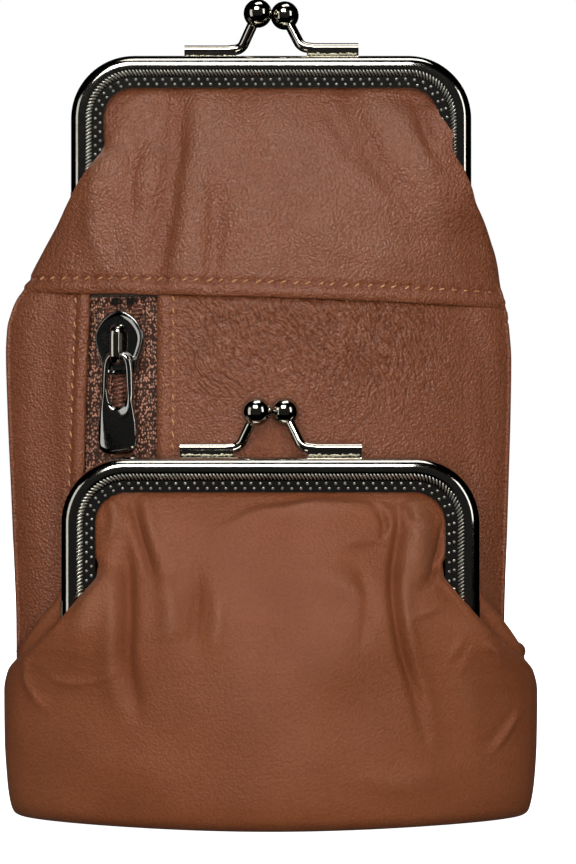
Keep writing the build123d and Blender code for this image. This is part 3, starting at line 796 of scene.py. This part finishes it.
def window_side(side, z):
    """Where a side of the zip's window is at some heights: 0 is its left side, 1 its right."""
    top, foot = WINDOW_SIDES[side]
    return foot + (top - foot) * (z - WINDOW_FOOT) / (WINDOW_TOP - WINDOW_FOOT)


def turned_back(grid):
    """A front wall of the main pouch as its back wall."""
    return (grid * (1, -1, 1) + (0, 2 * MAIN_HINGE[1], 0))[:, ::-1]


def main_panel(name, node, folds, front):
    """The lower wall of the main pouch. The front one has the zip's window, with turned borders."""
    z = np.concatenate([[0.25, 0.45, 0.8, 1.3, 2.0, 3.0, 4.2], np.linspace(5.2, 101.0, 160)])[:, None]
    half = through(PANEL_HALF, z) * HALF_WIDTH / 47.2
    depth = through(PANEL_DEPTH, z) * HALF_DEPTH / 12.0
    lean = through(BODY_SHIFT, z)
    t = crowded(230)
    edges = [int(np.argmin(np.abs(t - at))) for at in WINDOW_T]
    t[edges] = WINDOW_T
    t = t[None, :] + 0 * z
    if front:
        # The columns beside the window follow its sides
        for row, (z_row, half_row, lean_row) in enumerate(zip(z[:, 0], half[:, 0], lean[:, 0])):
            sides = [(window_side(k, z_row) - lean_row) / half_row for k in (0, 1)]
            t[row] = np.interp(t[row], (-1, *WINDOW_T, 1), (-1, *sides, 1))
    radius = (half**2 + depth**2) / (2 * depth)
    arc = np.sqrt(np.maximum(radius**2 - (half * t) ** 2, 0)) - (radius - depth)
    round_side = depth * np.sqrt(np.maximum(1 - np.abs(t) ** 7, 0)) * np.sqrt(1 - np.abs(t))
    arc = arc + 0.55 * smoothstep(0.8, 1.0, np.abs(t)) * round_side
    grid = xyz(half * t + lean, MAIN_HINGE[1] - arc, z)
    if not front:
        grid = turned_back(grid)
    x, z = grid[..., 0], grid[..., 2]
    height = relief(x, z, folds) + 0.12 * waves(x, z, 22, 11)
    height *= 0.2 + 0.8 * smoothstep(1.0, 0.9, np.abs(t))
    below = seam_edge(x) - z
    height -= 0.35 * smoothstep(0.8, -0.6, below)
    height += 0.12 * hump(below, 2.5, 1.6)
    keep = None
    mask = np.zeros_like(x)
    if front:
        for side, way in ((0, -1), (1, 1)):
            stitch = BORDER_STITCH[side]
            out = (x - window_side(side, z)) * way
            border = smoothstep(-0.2, 0.2, out) * (1 - smoothstep(stitch - 0.9, stitch + 0.4, out))
            height += 0.42 * border * np.sqrt(np.clip(out / 0.7, 0, 1))
            groove = hump(out, stitch, 0.5)
            height -= 0.38 * groove
            height += 0.16 * np.cos(z * FULL_TURN / STITCH_PITCH) * groove
        columns = np.arange(x.shape[1] - 1)
        inside = (columns >= edges[0]) & (columns < edges[1])
        keep = ~(inside[None, :] & (z[:-1, :-1] > WINDOW_FOOT))
        mask = smoothstep(-18.6, -14, x) * (0.2 + 0.8 * smoothstep(68, 88, z)) * smoothstep(44, 20, x)
        mask = np.maximum(mask, 0.08)
    # Painted shade towards the sides and painted sheen where the grain is creased, along with the relief's
    # own painted shade and sheen
    painted_light_relief = np.clip(height * 0.9 + 0.3 * mask - 0.4 * smoothstep(0.5, 0.85, np.abs(t)), -1, 1)
    piece = hide(name, raise_by(grid, height), leather, thickness=1.0, keep=keep, painted_light_relief=painted_light_relief, mask=mask)
    attach(piece, "leather", "pouch", node)
    return tree_of(piece)


front_panel = main_panel("leather_panel_front", "main_front_panel", PANEL_FOLDS, True)
main_panel("leather_panel_back", "main_back_panel", BACK_PANEL_FOLDS, False)


def bottom_panel():
    """The flat lens-shaped bottom of the main pouch, with a rounded edge."""
    low, high = node_box("main_bottom_panel")
    z_low, z_high, rim = 0.1, 1.1, 0.35
    front_y, side_y, back_y = low[1] + 1.6, MAIN_HINGE[1], high[1] - 1.6
    angle = np.linspace(-1, 1, 61)[:-1] * math.pi
    rings = []
    profile = [(14, z_high), (0.6, z_high), (0.1, z_high - rim)]
    profile += [(0.1, z_low + rim), (0.6, z_low), (14, z_low)]
    for inset, z in profile:
        x = (HALF_WIDTH - 3.2 - inset) * np.sin(angle)
        span = np.where(np.cos(angle) > 0, side_y - front_y, back_y - side_y) - min(inset, 4)
        rings.append(xyz(x, side_y - span * np.cos(angle), z))
    panel = closed_grid("leather_bottom", np.array(rings)[:, ::-1], leather_edge)
    attach(panel, "leather", "pouch", "main_bottom_panel")


bottom_panel()

# ---- Coin pouch ----

BELLY = (-2.0, 0.3)
grid = skin(COIN_SKIN, COIN_HINGE, 150, 260, belly=BELLY)
x, z = grid[..., 0], grid[..., 2]
coin_height = 1.4 * relief(x, z, COIN_FOLDS) + 0.22 * waves(x, z, 17, 21)
side_calm = smoothstep(1.0, 0.94, edge_near(x))
coin_height *= (0.15 + 0.85 * side_calm) * smoothstep(0, 5, z) * smoothstep(27.3, 24.5, z - COIN_HINGE[2])
# The relief sets the painted shade in the valleys and the painted sheen on the ridges
painted_light_relief = np.clip(coin_height * 0.8, -1, 1)
coin_front = hide("leather_coin_front", raise_by(grid, coin_height), leather_smooth, thickness=0.8, painted_light_relief=painted_light_relief)
nodes = ("coin_front_panel", "coin_front_fold", "coin_front_upper")
attach_across(coin_front, "leather", COIN_HINGE, "coin_front_half", COIN_BLEND, *nodes)

inner = skin(COIN_SKIN[3:-2], COIN_HINGE, 60, 90, belly=BELLY)
cloth = raise_by(inner, -1.7 + 0.2 * waves(inner[..., 0], inner[..., 2], 9, 8))
coin_cloth = hide("cloth_coin_front", cloth, lining_cloth, thickness=0.35)
nodes = ("coin_lining", "coin_front_upper_lining")
attach_across(coin_cloth, "lining", COIN_HINGE, "coin_front_half", COIN_BLEND, *nodes)

COIN_REAR = [
    (-33.2, 44.0, 12.0, 3.6, 0.1),
    (-26.0, 46.8, 12.4, 3.3, 0.1),
    (-14.0, 47.4, 12.6, 3.3, 0.1),
    (-8.0, 47.0, 11.6, 3.4, 0.12),
    (-3.0, 44.6, 8.6, 3.6, 0.15),
    (3.0, 40.8, 6.2, 3.7, 0.2),
    (8.0, 36.6, 5.6, 3.6, 0.2),
    (11.0, 33.0, 5.0, 3.2, 0.2),
    (13.2, 31.2, 3.4, 2.8, 0.2),
    (16.0, 31.6, 2.2, 2.5, 0.2),
    (21.0, 32.2, 2.1, 2.3, 0.2),
    (24.6, 31.2, 2.1, 2.2, 0.2),
    (26.4, 29.2, 2.1, 2.1, 0.2),
    (27.3, 26.2, 2.1, 2.1, 0.2),
]
grid = skin(COIN_REAR, COIN_HINGE, 90, 140)
x, z = grid[..., 0], grid[..., 2]
rear_height = 0.2 * waves(x, z, 14, 31) * smoothstep(60, 54, z)
grid = raise_by(grid, rear_height)
# The swell sets the painted shade in its hollows and the painted sheen on its crests
coin_rear = hide("leather_coin_rear", grid, leather_smooth, thickness=-0.8, painted_light_relief=rear_height)
attach(coin_rear, "leather", "pouch", "coin_back_panel", "coin_rear_upper")

# ---- Metal frames ----

FRAME_HALF = 38.0
FRAME_TOP = 33.0
FRAME_CORNER = 12.0
LEG_FOOT = 3.5


def along_frame(inset, spacing, start=0.0):
    """Points along a frame half at a distance in from its rim: x, z, and the way inwards, evenly spaced."""
    leg = FRAME_TOP - FRAME_CORNER - LEG_FOOT
    radius = FRAME_CORNER - inset
    bend = radius * math.pi / 2
    top = 2 * (FRAME_HALF - FRAME_CORNER)
    total = 2 * leg + 2 * bend + top
    places = []
    for run in np.arange(start, total, spacing):
        left = run <= total / 2
        r = run if left else total - run
        if r < leg:
            point, inward = (-(FRAME_HALF - inset), LEG_FOOT + r), (1, 0)
        elif r < leg + bend:
            a = (r - leg) / radius
            point = (-(CORNER_X + radius * math.cos(a)), CORNER_Z + radius * math.sin(a))
            inward = (math.cos(a), -math.sin(a))
        else:
            point, inward = (-(CORNER_X - (r - leg - bend)), FRAME_TOP - inset), (0, -1)
        if not left:
            point, inward = (-point[0], point[1]), (-inward[0], inward[1])
        places.append((point, inward))
    return places


def drops(places, name, material):
    """Many small rounded drops as one mesh. A place is (centre, long axis, short axis, height axis), and
    each axis is as long as the drop is that way."""
    sides, levels = 8, (0.0, 0.55, 0.9)
    angle = np.arange(sides) * FULL_TURN / sides
    ring = np.stack([np.cos(angle), np.sin(angle)], axis=1)
    points, faces = [], []
    for centre, long_axis, short_axis, up_axis in places:
        base = len(points)
        for level in levels:
            wide = math.sqrt(1 - level**2)
            for c, s in ring:
                points.append(centre + long_axis * c * wide + short_axis * s * wide + up_axis * level)
        points.append(centre + up_axis)
        faces += grid_faces(len(levels), sides, across=True, start=base)
        top = base + len(levels) * sides
        faces += [[top - sides + k, top - sides + (k + 1) % sides, top] for k in range(sides)]
        faces.append([base + k for k in range(sides)][::-1])
    return new_mesh(name, points, faces, material)


# Each tick and dot leans up a little, where the light is
UPWARDS = np.array([0, 0, 0.09])
CLASP_FOOT = (7.2, 16.4)


def frame_trim(name, body, hinge, side):
    """The raised slanted ticks and two rows of dots pressed into a frame half. side is -1 on the front."""
    places = []
    out = np.array([0, side, 0])
    for (px, pz), (ix, iz) in along_frame(3.5, 0.66):
        inward = np.array([ix, 0, iz])
        run = np.array([-iz, 0, ix])
        slant = inward * 0.72 + run * 0.5
        centre = np.array([px, hinge[1] + side * 4.02, hinge[2] + pz])
        places.append((centre, (slant - out * 0.2) * 0.85, np.cross(slant, out) * 0.21, out * 0.34 + UPWARDS))
    for inset, start in ((4.75, 0.4), (5.65, 1.25)):
        for (px, pz), (ix, iz) in along_frame(inset, 1.7, start):
            centre = np.array([px, hinge[1] + side * 3.82, hinge[2] + pz])
            dot = (np.array([0.27, 0, 0]), np.array([0, 0, 0.27]) * -side, out * 0.24 + UPWARDS)
            places.append((centre, *dot))
    attach(drops(places, name, nickel_trim_painted_bright), "nickel", body)


def turned_edge(name, node, body, hinge, side):
    """The skin's edge turned round its cord, inside the frame's channel."""
    path = [(p[0], hinge[1] + side * 1.9, hinge[2] + p[1]) for p, _ in along_frame(4.0, 1.2, 7.0)[:-6]]
    rings = tube_rings(path, (0, 1, 0), 0.85, 1.7, sides=12)
    edge = closed_grid(name, rings, leather_edge)
    attach(edge, "frame_cord", body, node)


def clasp_solder(name, body, hinge, side):
    """The rough bright solder along the foot of a half's clasp."""
    rng = np.random.default_rng(7)
    places = []
    for face in (-1, 1):
        for x_at in np.arange(CLASP_FOOT[0], CLASP_FOOT[1], 0.42):
            above = FRAME_TOP + 0.3 + rng.uniform(-0.08, 0.12)
            centre = hinge + (-side * x_at, side * 1.2 + face * 0.97, above)
            run = np.array([rng.uniform(0.22, 0.4), 0, rng.uniform(-0.12, 0.12)])
            rise = np.array([0, 0, rng.uniform(0.14, 0.3)]) * -face
            places.append((centre, run, rise, np.array([0, face * 0.2, 0.07])))
    attach(drops(places, name, solder), "nickel", body)


def plate_node(name, metal):
    """Gives a CAD node its metal."""
    materials = frame["nodes"][name].data.materials
    materials.clear()
    materials.append(metal)


HALVES = [
    ("main_front", "main_front_half", MAIN_HINGE, -1),
    ("main_rear", "main_rear_half", MAIN_HINGE, 1),
    ("coin_front", "coin_front_half", COIN_HINGE, -1),
    ("coin_rear", "pouch", COIN_HINGE, 1),
]
for label, body, hinge, side in HALVES:
    frame_trim(f"trim_{label}", body, hinge, side)
    clasp_solder(f"solder_{label}", body, hinge, side)
    turned_edge(f"turned_edge_{label}", f"{label}_cord", body, hinge, side)
    plate_node(f"{label}_frame", nickel)
    plate_node(f"{label}_clasp", nickel_ball)
for name in ("main_hinge_rivets", "coin_hinge_rivets", "zip_stops"):
    plate_node(name, nickel_ball)

# ---- Zip ----

# The zip's own frame: along the panel, into it, and up. The pull hangs at PULL_N, in front of the panel
ALONG = -np.array(JOINTS["pull_swing"]["axis"])
INTO = np.array([-ALONG[1], ALONG[0], 0])
PULL_N = -2.1
COIL_PITCH = 0.8
pull_at = joint_place("pull_swing")
zip_origin = np.array([pull_at[0], pull_at[1], 0]) - INTO * PULL_N
tape_high = node_box("zip_tape_left", "zip_tape_right")[1]


def in_zip(points):
    """Points given along the panel, into it and up, in the purse's own frame."""
    p = np.asarray(points, float)
    return zip_origin + p[..., :1] * ALONG + p[..., 1:2] * INTO + p[..., 2:3] * np.array([0, 0, 1])


def zip_sheet(name, s_range, n_at, z_range, count, material, thickness, swell=0.0):
    """A flat sheet at one depth into the panel, or one that swells out in its middle."""
    s = np.linspace(*s_range, count[0])[None, :]
    z = np.linspace(*z_range, count[1])[:, None]
    n = n_at - swell * np.cos((s - s_range[0]) / (s_range[1] - s_range[0]) * FULL_TURN) * 0.5
    return hide(name, in_zip(xyz(s, n, z)), material, thickness=thickness)


for label, side in (("left", -1), ("right", 1)):
    span = sorted((side * 0.25, side * 8.2))
    tape = zip_sheet(f"tape_{label}", span, 1.95, (31.0, tape_high[2]), (22, 120), tape_cloth, 0.5)
    attach(tape, "zip_tape", "pouch", f"zip_tape_{label}")
    # One side's coil: a flattened spiral that meshes with the other's and parts above the slider
    turns = np.arange(37.0, 95.4, COIL_PITCH / 12)
    angle = (turns / COIL_PITCH + (0.5 if side > 0 else 0)) * FULL_TURN
    apart = 1.0 + 2.0 * smoothstep(90.5, 95.5, turns)
    path = xyz(side * apart + 0.98 * np.cos(angle), 1.3 + 0.48 * np.sin(angle), turns)
    rings = tube_rings(in_zip(path), (0, 0, 1), 0.24, 0.24, sides=6, square=2)
    attach(closed_grid(f"coil_{label}", rings, coil_plastic), "zip_tape", "pouch", f"zip_teeth_{label}")

for label, n_at, swell, nodes in (("front", 2.6, 0.0, []), ("back", 4.5, 0.25, ["zip_pocket_bag"])):
    name = f"cloth_pocket_{label}"
    wall = zip_sheet(name, (-8.5, 8.5), n_at, (24.2, 98.8), (20, 60), lining_cloth, 0.3, swell)
    attach(wall, "lining", "pouch", *nodes)


def mirrored(half_outline):
    """A closed outline from the points down its right side, the first and last of them on its middle."""
    right = np.array(half_outline, float)
    return np.vstack([right, right[-2:0:-1] * (-1, 1)])


def plate(name, outline, front, back, dome, material, rim=0.0, count=72):
    """A closed plate in the zip's frame, with a domed front and a slightly raised rim."""
    line = even_line(smooth_line(outline, closed=True), count, closed=True)
    centre = np.array([0, (line[:, 1].max() + line[:, 1].min()) / 2])
    rings = []
    profile = [(0.15, front - dome), (0.45, front - dome * 0.8), (0.72, front - dome * 0.45)]
    profile += [(0.9, front - dome * 0.12)]
    profile += [(0.93, front - rim), (0.97, front - rim), (1.0, front + 0.18)]
    profile += [(1.0, back - 0.15), (0.95, back), (0.2, back)]
    for scale, n in profile:
        ring = centre + (line - centre) * scale
        rings.append(xyz(ring[:, 0], n, ring[:, 1]))
    return closed_grid(name, in_zip(np.array(rings)), material)


SLIDER_SIDE = [(0, 94.3), (1.8, 93.7), (3.5, 92.3), (4.6, 90.4), (4.8, 88.8), (4.2, 86.4)]
SLIDER_SIDE += [(3.6, 84.8), (3.4, 83.2), (2.6, 82.4), (0, 82.3)]
SLIDER_WALL = [(4.05, 90.2), (4.15, 88.2), (3.65, 86.2), (3.15, 84.6), (3.05, 82.9)]
SLIDER_OUTLINE = mirrored(SLIDER_SIDE)
slider = plate("slider_front", SLIDER_OUTLINE, -1.1, -0.35, 0.1, gunmetal, rim=0.16)
slider_back = plate("slider_back", SLIDER_OUTLINE, 2.75, 3.6, 0.0, gunmetal)
walls = []
for label, side in (("left", -1), ("right", 1)):
    run = smooth_line(SLIDER_WALL) * (side, 1)
    line = in_zip(xyz(run[:, 0], 0.45, run[:, 1]))
    walls.append(closed_grid(f"slider_wall_{label}", tube_rings(line, INTO, 1.0, 0.35, square=5), gunmetal))
post_line = in_zip([(0, -0.8, 91.7), (0, 1.0, 91.7), (0, 3.0, 91.7)])
post = closed_grid("slider_post", tube_rings(post_line, (0, 0, 1), 1.3, 0.42), gunmetal)
ARCH = [(0, -1.0, 91.3), (0, -2.4, 91.25), (0, -3.35, 90.4), (0, -3.5, 88)]
ARCH += [(0, -3.4, 85.6), (0, -2.5, 84.5), (0, -1.0, 84.55)]
arch_rings = tube_rings(in_zip(smooth_line(ARCH)), ALONG, 0.95, 0.34, square=2.3)
bridge = closed_grid("slider_bridge", arch_rings, nickel_ball)
attach(slider, "zip_metal", "zip_slider", "zip_slider")
for part in (slider_back, post, bridge, *walls):
    attach(part, "zip_metal", "zip_slider")

PULL_SIDE = [(0, 86.6), (1.5, 86.4), (2.5, 85.4), (2.95, 83.5), (3.1, 80.0), (3.15, 77.0)]
PULL_SIDE += [(3.5, 74.6), (3.72, 72.5), (3.72, 69.6), (3.3, 68.2), (2.0, 67.55), (0, 67.45)]
HOLE_SIDE = [(0, 85.45), (1.1, 85.2), (1.6, 84.2), (1.85, 81.6)]
HOLE_SIDE += [(1.95, 79.4), (1.6, 77.4), (0.8, 76.4), (0, 76.2)]
# The pull's section from its outer edge to its hole and back: how far across, and how far out
PULL_SECTION = [(0.0, 0.0), (0.02, -0.16), (0.12, -0.32), (0.3, -0.52), (0.5, -0.6), (0.75, -0.6)]
PULL_SECTION += [(0.93, -0.5), (1.0, -0.2), (1.0, 0.2), (0.9, 0.5), (0.1, 0.5), (0.02, 0.3)]
AROUND_PULL = 96
outer = even_line(smooth_line(mirrored(PULL_SIDE), closed=True), AROUND_PULL, closed=True)
hole = even_line(smooth_line(mirrored(HOLE_SIDE), closed=True), AROUND_PULL, closed=True)
rings = []
for a, n in PULL_SECTION:
    line = outer * (1 - a) + hole * a
    rings.append(xyz(line[:, 0], PULL_N + n, line[:, 1]))
faces = grid_faces(len(rings), AROUND_PULL, across=True, around=True)
pull = new_mesh("pull_tab", in_zip(np.array(rings)).reshape(-1, 3), faces, gunmetal)
attach(pull, "zip_metal", "zip_pull", "zip_pull")

# ---- Main lining ----


def lining_wall(name, front, *nodes):
    """The main compartment's cloth, from its foot up to where the upper lining takes over."""
    z = np.linspace(1.7, 104.0, 70)[:, None]
    t = crowded(70)[None, :]
    half = through([(0, 41.0), (6, 42.6), (88, 43.8), (97, 42.8), (104, 41.6)], z)
    if front:
        reach = through([(0, 2.4), (12, 2.8), (86, 2.8), (95, 6.5), (104, 10.4)], z)
    else:
        reach = through([(0, 8.4), (10, 9.9), (92, 9.9), (104, 10.4)], z)
    arch = 0.4 * (1 - t**2) + 0.6 * half_round(t)
    grid = xyz(half * t + through(BODY_SHIFT, z), MAIN_HINGE[1] - reach * arch, z)
    if not front:
        grid = turned_back(grid)
    ripple = 0.25 * waves(grid[..., 0], grid[..., 2], 15, 41 if front else 43) - 0.25
    wall = hide(name, raise_by(grid, ripple), lining_cloth, thickness=0.35)
    attach(wall, "lining", "pouch", *nodes)


lining_wall("cloth_main_front", True, "main_lining")
lining_wall("cloth_main_back", False)

# ---- Stitching ----


def stitches(name, places, slant=0.5, length=1.45, radius=0.2):
    """A row of slanted stitches. A place is (surface point, normal, direction of the row)."""
    threads = []
    for centre, normal, run in places:
        run = run - (run @ normal) * normal
        run /= np.linalg.norm(run)
        long_axis = run * math.cos(slant) + np.cross(normal, run) * math.sin(slant)
        short_axis = np.cross(normal, long_axis)
        half_axes = (long_axis * length / 2, short_axis * radius, normal * (radius + 0.12))
        threads.append((centre - normal * 0.05, *half_axes))
    attach(drops(threads, name, thread), "leather", "pouch")


def seam_places(tree, front):
    """Where the stitches are along a yoke's lower edge."""
    places = []
    for x in np.arange(-46.0, 43.4, STITCH_PITCH):
        hit = on_surface(tree, x + 0.15 * math.sin(7 * x), seam_edge(x) + STITCH_ABOVE, front)
        if hit is not None:
            places.append((*hit, np.array([1.0, 0, -SEAM_SLOPE])))
    return places


stitches("stitches_yoke_front", seam_places(front_yoke, True))
stitches("stitches_yoke_back", seam_places(back_yoke, False))
for side, label, way in ((0, "left", -1), (1, "right", 1)):
    places = []
    for z_at in np.arange(32.0, seam_edge(WINDOW_SIDES[side][0]) - 0.4, STITCH_PITCH):
        hit = on_surface(front_panel, window_side(side, z_at) + way * BORDER_STITCH[side], z_at)
        if hit is not None:
            places.append((*hit, np.array([0, 0, 1.0])))
    stitches(f"stitches_zip_{label}", places, slant=0.3, length=1.4, radius=0.17)

# ---- Nubs and rolled wings at the coin pouch's sides ----

WING = [(36.9, -3.2, 43.4), (38.6, -2.6, 39.2), (41.9, -1.2, 34.8), (45.2, 0.6, 30.2), (46.2, 1.6, 27.0)]
NUB = [(0, -2.4, -1), (0, -1.0, -0.2), (0, 1.2, 0), (-0.4, 2.6, 0.3)]
nub_low, nub_high = node_box("coin_side_nubs")
nub_middle = (nub_low + nub_high) / 2
for label, side, nodes in (("left", -1, ["coin_side_nubs"]), ("right", 1, [])):
    middle = (side * (nub_high[0] - 1.8), nub_middle[1], nub_middle[2])
    path = smooth_line(np.array(NUB) * (side, 1, 1) + middle)
    radius = 1.6 * np.sin(np.linspace(0.22, math.pi - 0.22, len(path))) ** 0.5
    nub = closed_grid(f"nub_{label}", tube_rings(path, (1, 0, 0), radius, radius, square=2), leather_edge)
    attach(nub, "leather", "pouch", *nodes)
    path = smooth_line(np.array(WING) * (side, 1, 1))
    wide = 1.2 + 1.0 * np.sin(np.linspace(0.25, math.pi - 0.25, len(path)))
    rings = tube_rings(path, (0, 1, 0), wide * 0.8, wide, square=2)
    attach(closed_grid(f"wing_{label}", rings, leather_smooth), "leather", "pouch")

# ---- Studio ----

stage_look = Shader("studio_white")
pale = stage_look.noise(stage_look.add("TexCoord").outputs["Object"], 6, 2)
stage_look.surface.inputs["Emission Strength"].default_value = 1.0
stage_look.surface.inputs["Emission Color"].default_value = (1, 1, 1, 1)
white = stage_look.finish(stage_look.mix(pale, (0.86, 0.86, 0.86, 1), (0.9, 0.9, 0.9, 1)), 0.9)
steps = np.linspace(-4000, 4000, 9)
floor_points = np.array([[(x_at, y_at, 0) for x_at in steps] for y_at in steps])
floor = new_mesh("studio_floor", floor_points.reshape(-1, 3), grid_faces(len(steps), len(steps)), white)
floor.visible_diffuse = False
floor.visible_glossy = False

world = bpy.data.worlds.new("studio")
world.use_nodes = True
world.node_tree.nodes["Background"].inputs["Color"].default_value = (1, 1, 1, 1)
world.node_tree.nodes["Background"].inputs["Strength"].default_value = 1.0
world.cycles_visibility.diffuse = False
world.cycles_visibility.glossy = False
bpy.context.scene.world = world

TARGET = Vector((0, 0, 0.07))


def softbox(name, place, size, power):
    """A soft rectangular light that faces the purse, in metres and watts."""
    data = bpy.data.lights.new(name, "AREA")
    data.shape = "RECTANGLE"
    data.size, data.size_y = size
    data.energy = power
    lamp = new_object(name, data)
    lamp.location = place
    lamp.rotation_euler = (TARGET - Vector(place)).to_track_quat("-Z", "Y").to_euler()
    return lamp


softbox("key", (-0.1, -0.5, 0.5), (0.3, 0.2), 0.45)
softbox("right", (0.62, -0.5, 0.3), (0.2, 0.5), 0.8)
softbox("left", (-0.47, -0.31, 0.12), (0.2, 0.5), 0.35)
softbox("top", (0.05, -0.1, 0.85), (0.5, 0.25), 1.2)
softbox("room", (0, -2.5, 0.3), (4.0, 3.0), 0.8)
# One light is only seen as a shine, and two give no shine
gloss = softbox("gloss", (-0.08, -0.48, 0.46), (0.3, 0.22), 2.0)
gloss.visible_diffuse = False
front = softbox("front", (0.0, -0.8, 0.1), (0.5, 0.4), 7.8)
front.visible_glossy = False
back = softbox("back", (0.15, 0.8, 0.4), (0.6, 0.5), 7.0)
back.visible_glossy = False

camera_data = bpy.data.cameras.new("camera")
camera_data.lens = 89.7
camera_data.clip_start = 0.01
camera = new_object("camera", camera_data)
camera.location = (0.0032, -0.402, 0.0716)
camera.rotation_euler = (math.pi / 2, 0, 0)
bpy.context.scene.camera = camera
bpy.context.scene.view_settings.view_transform = "Standard"
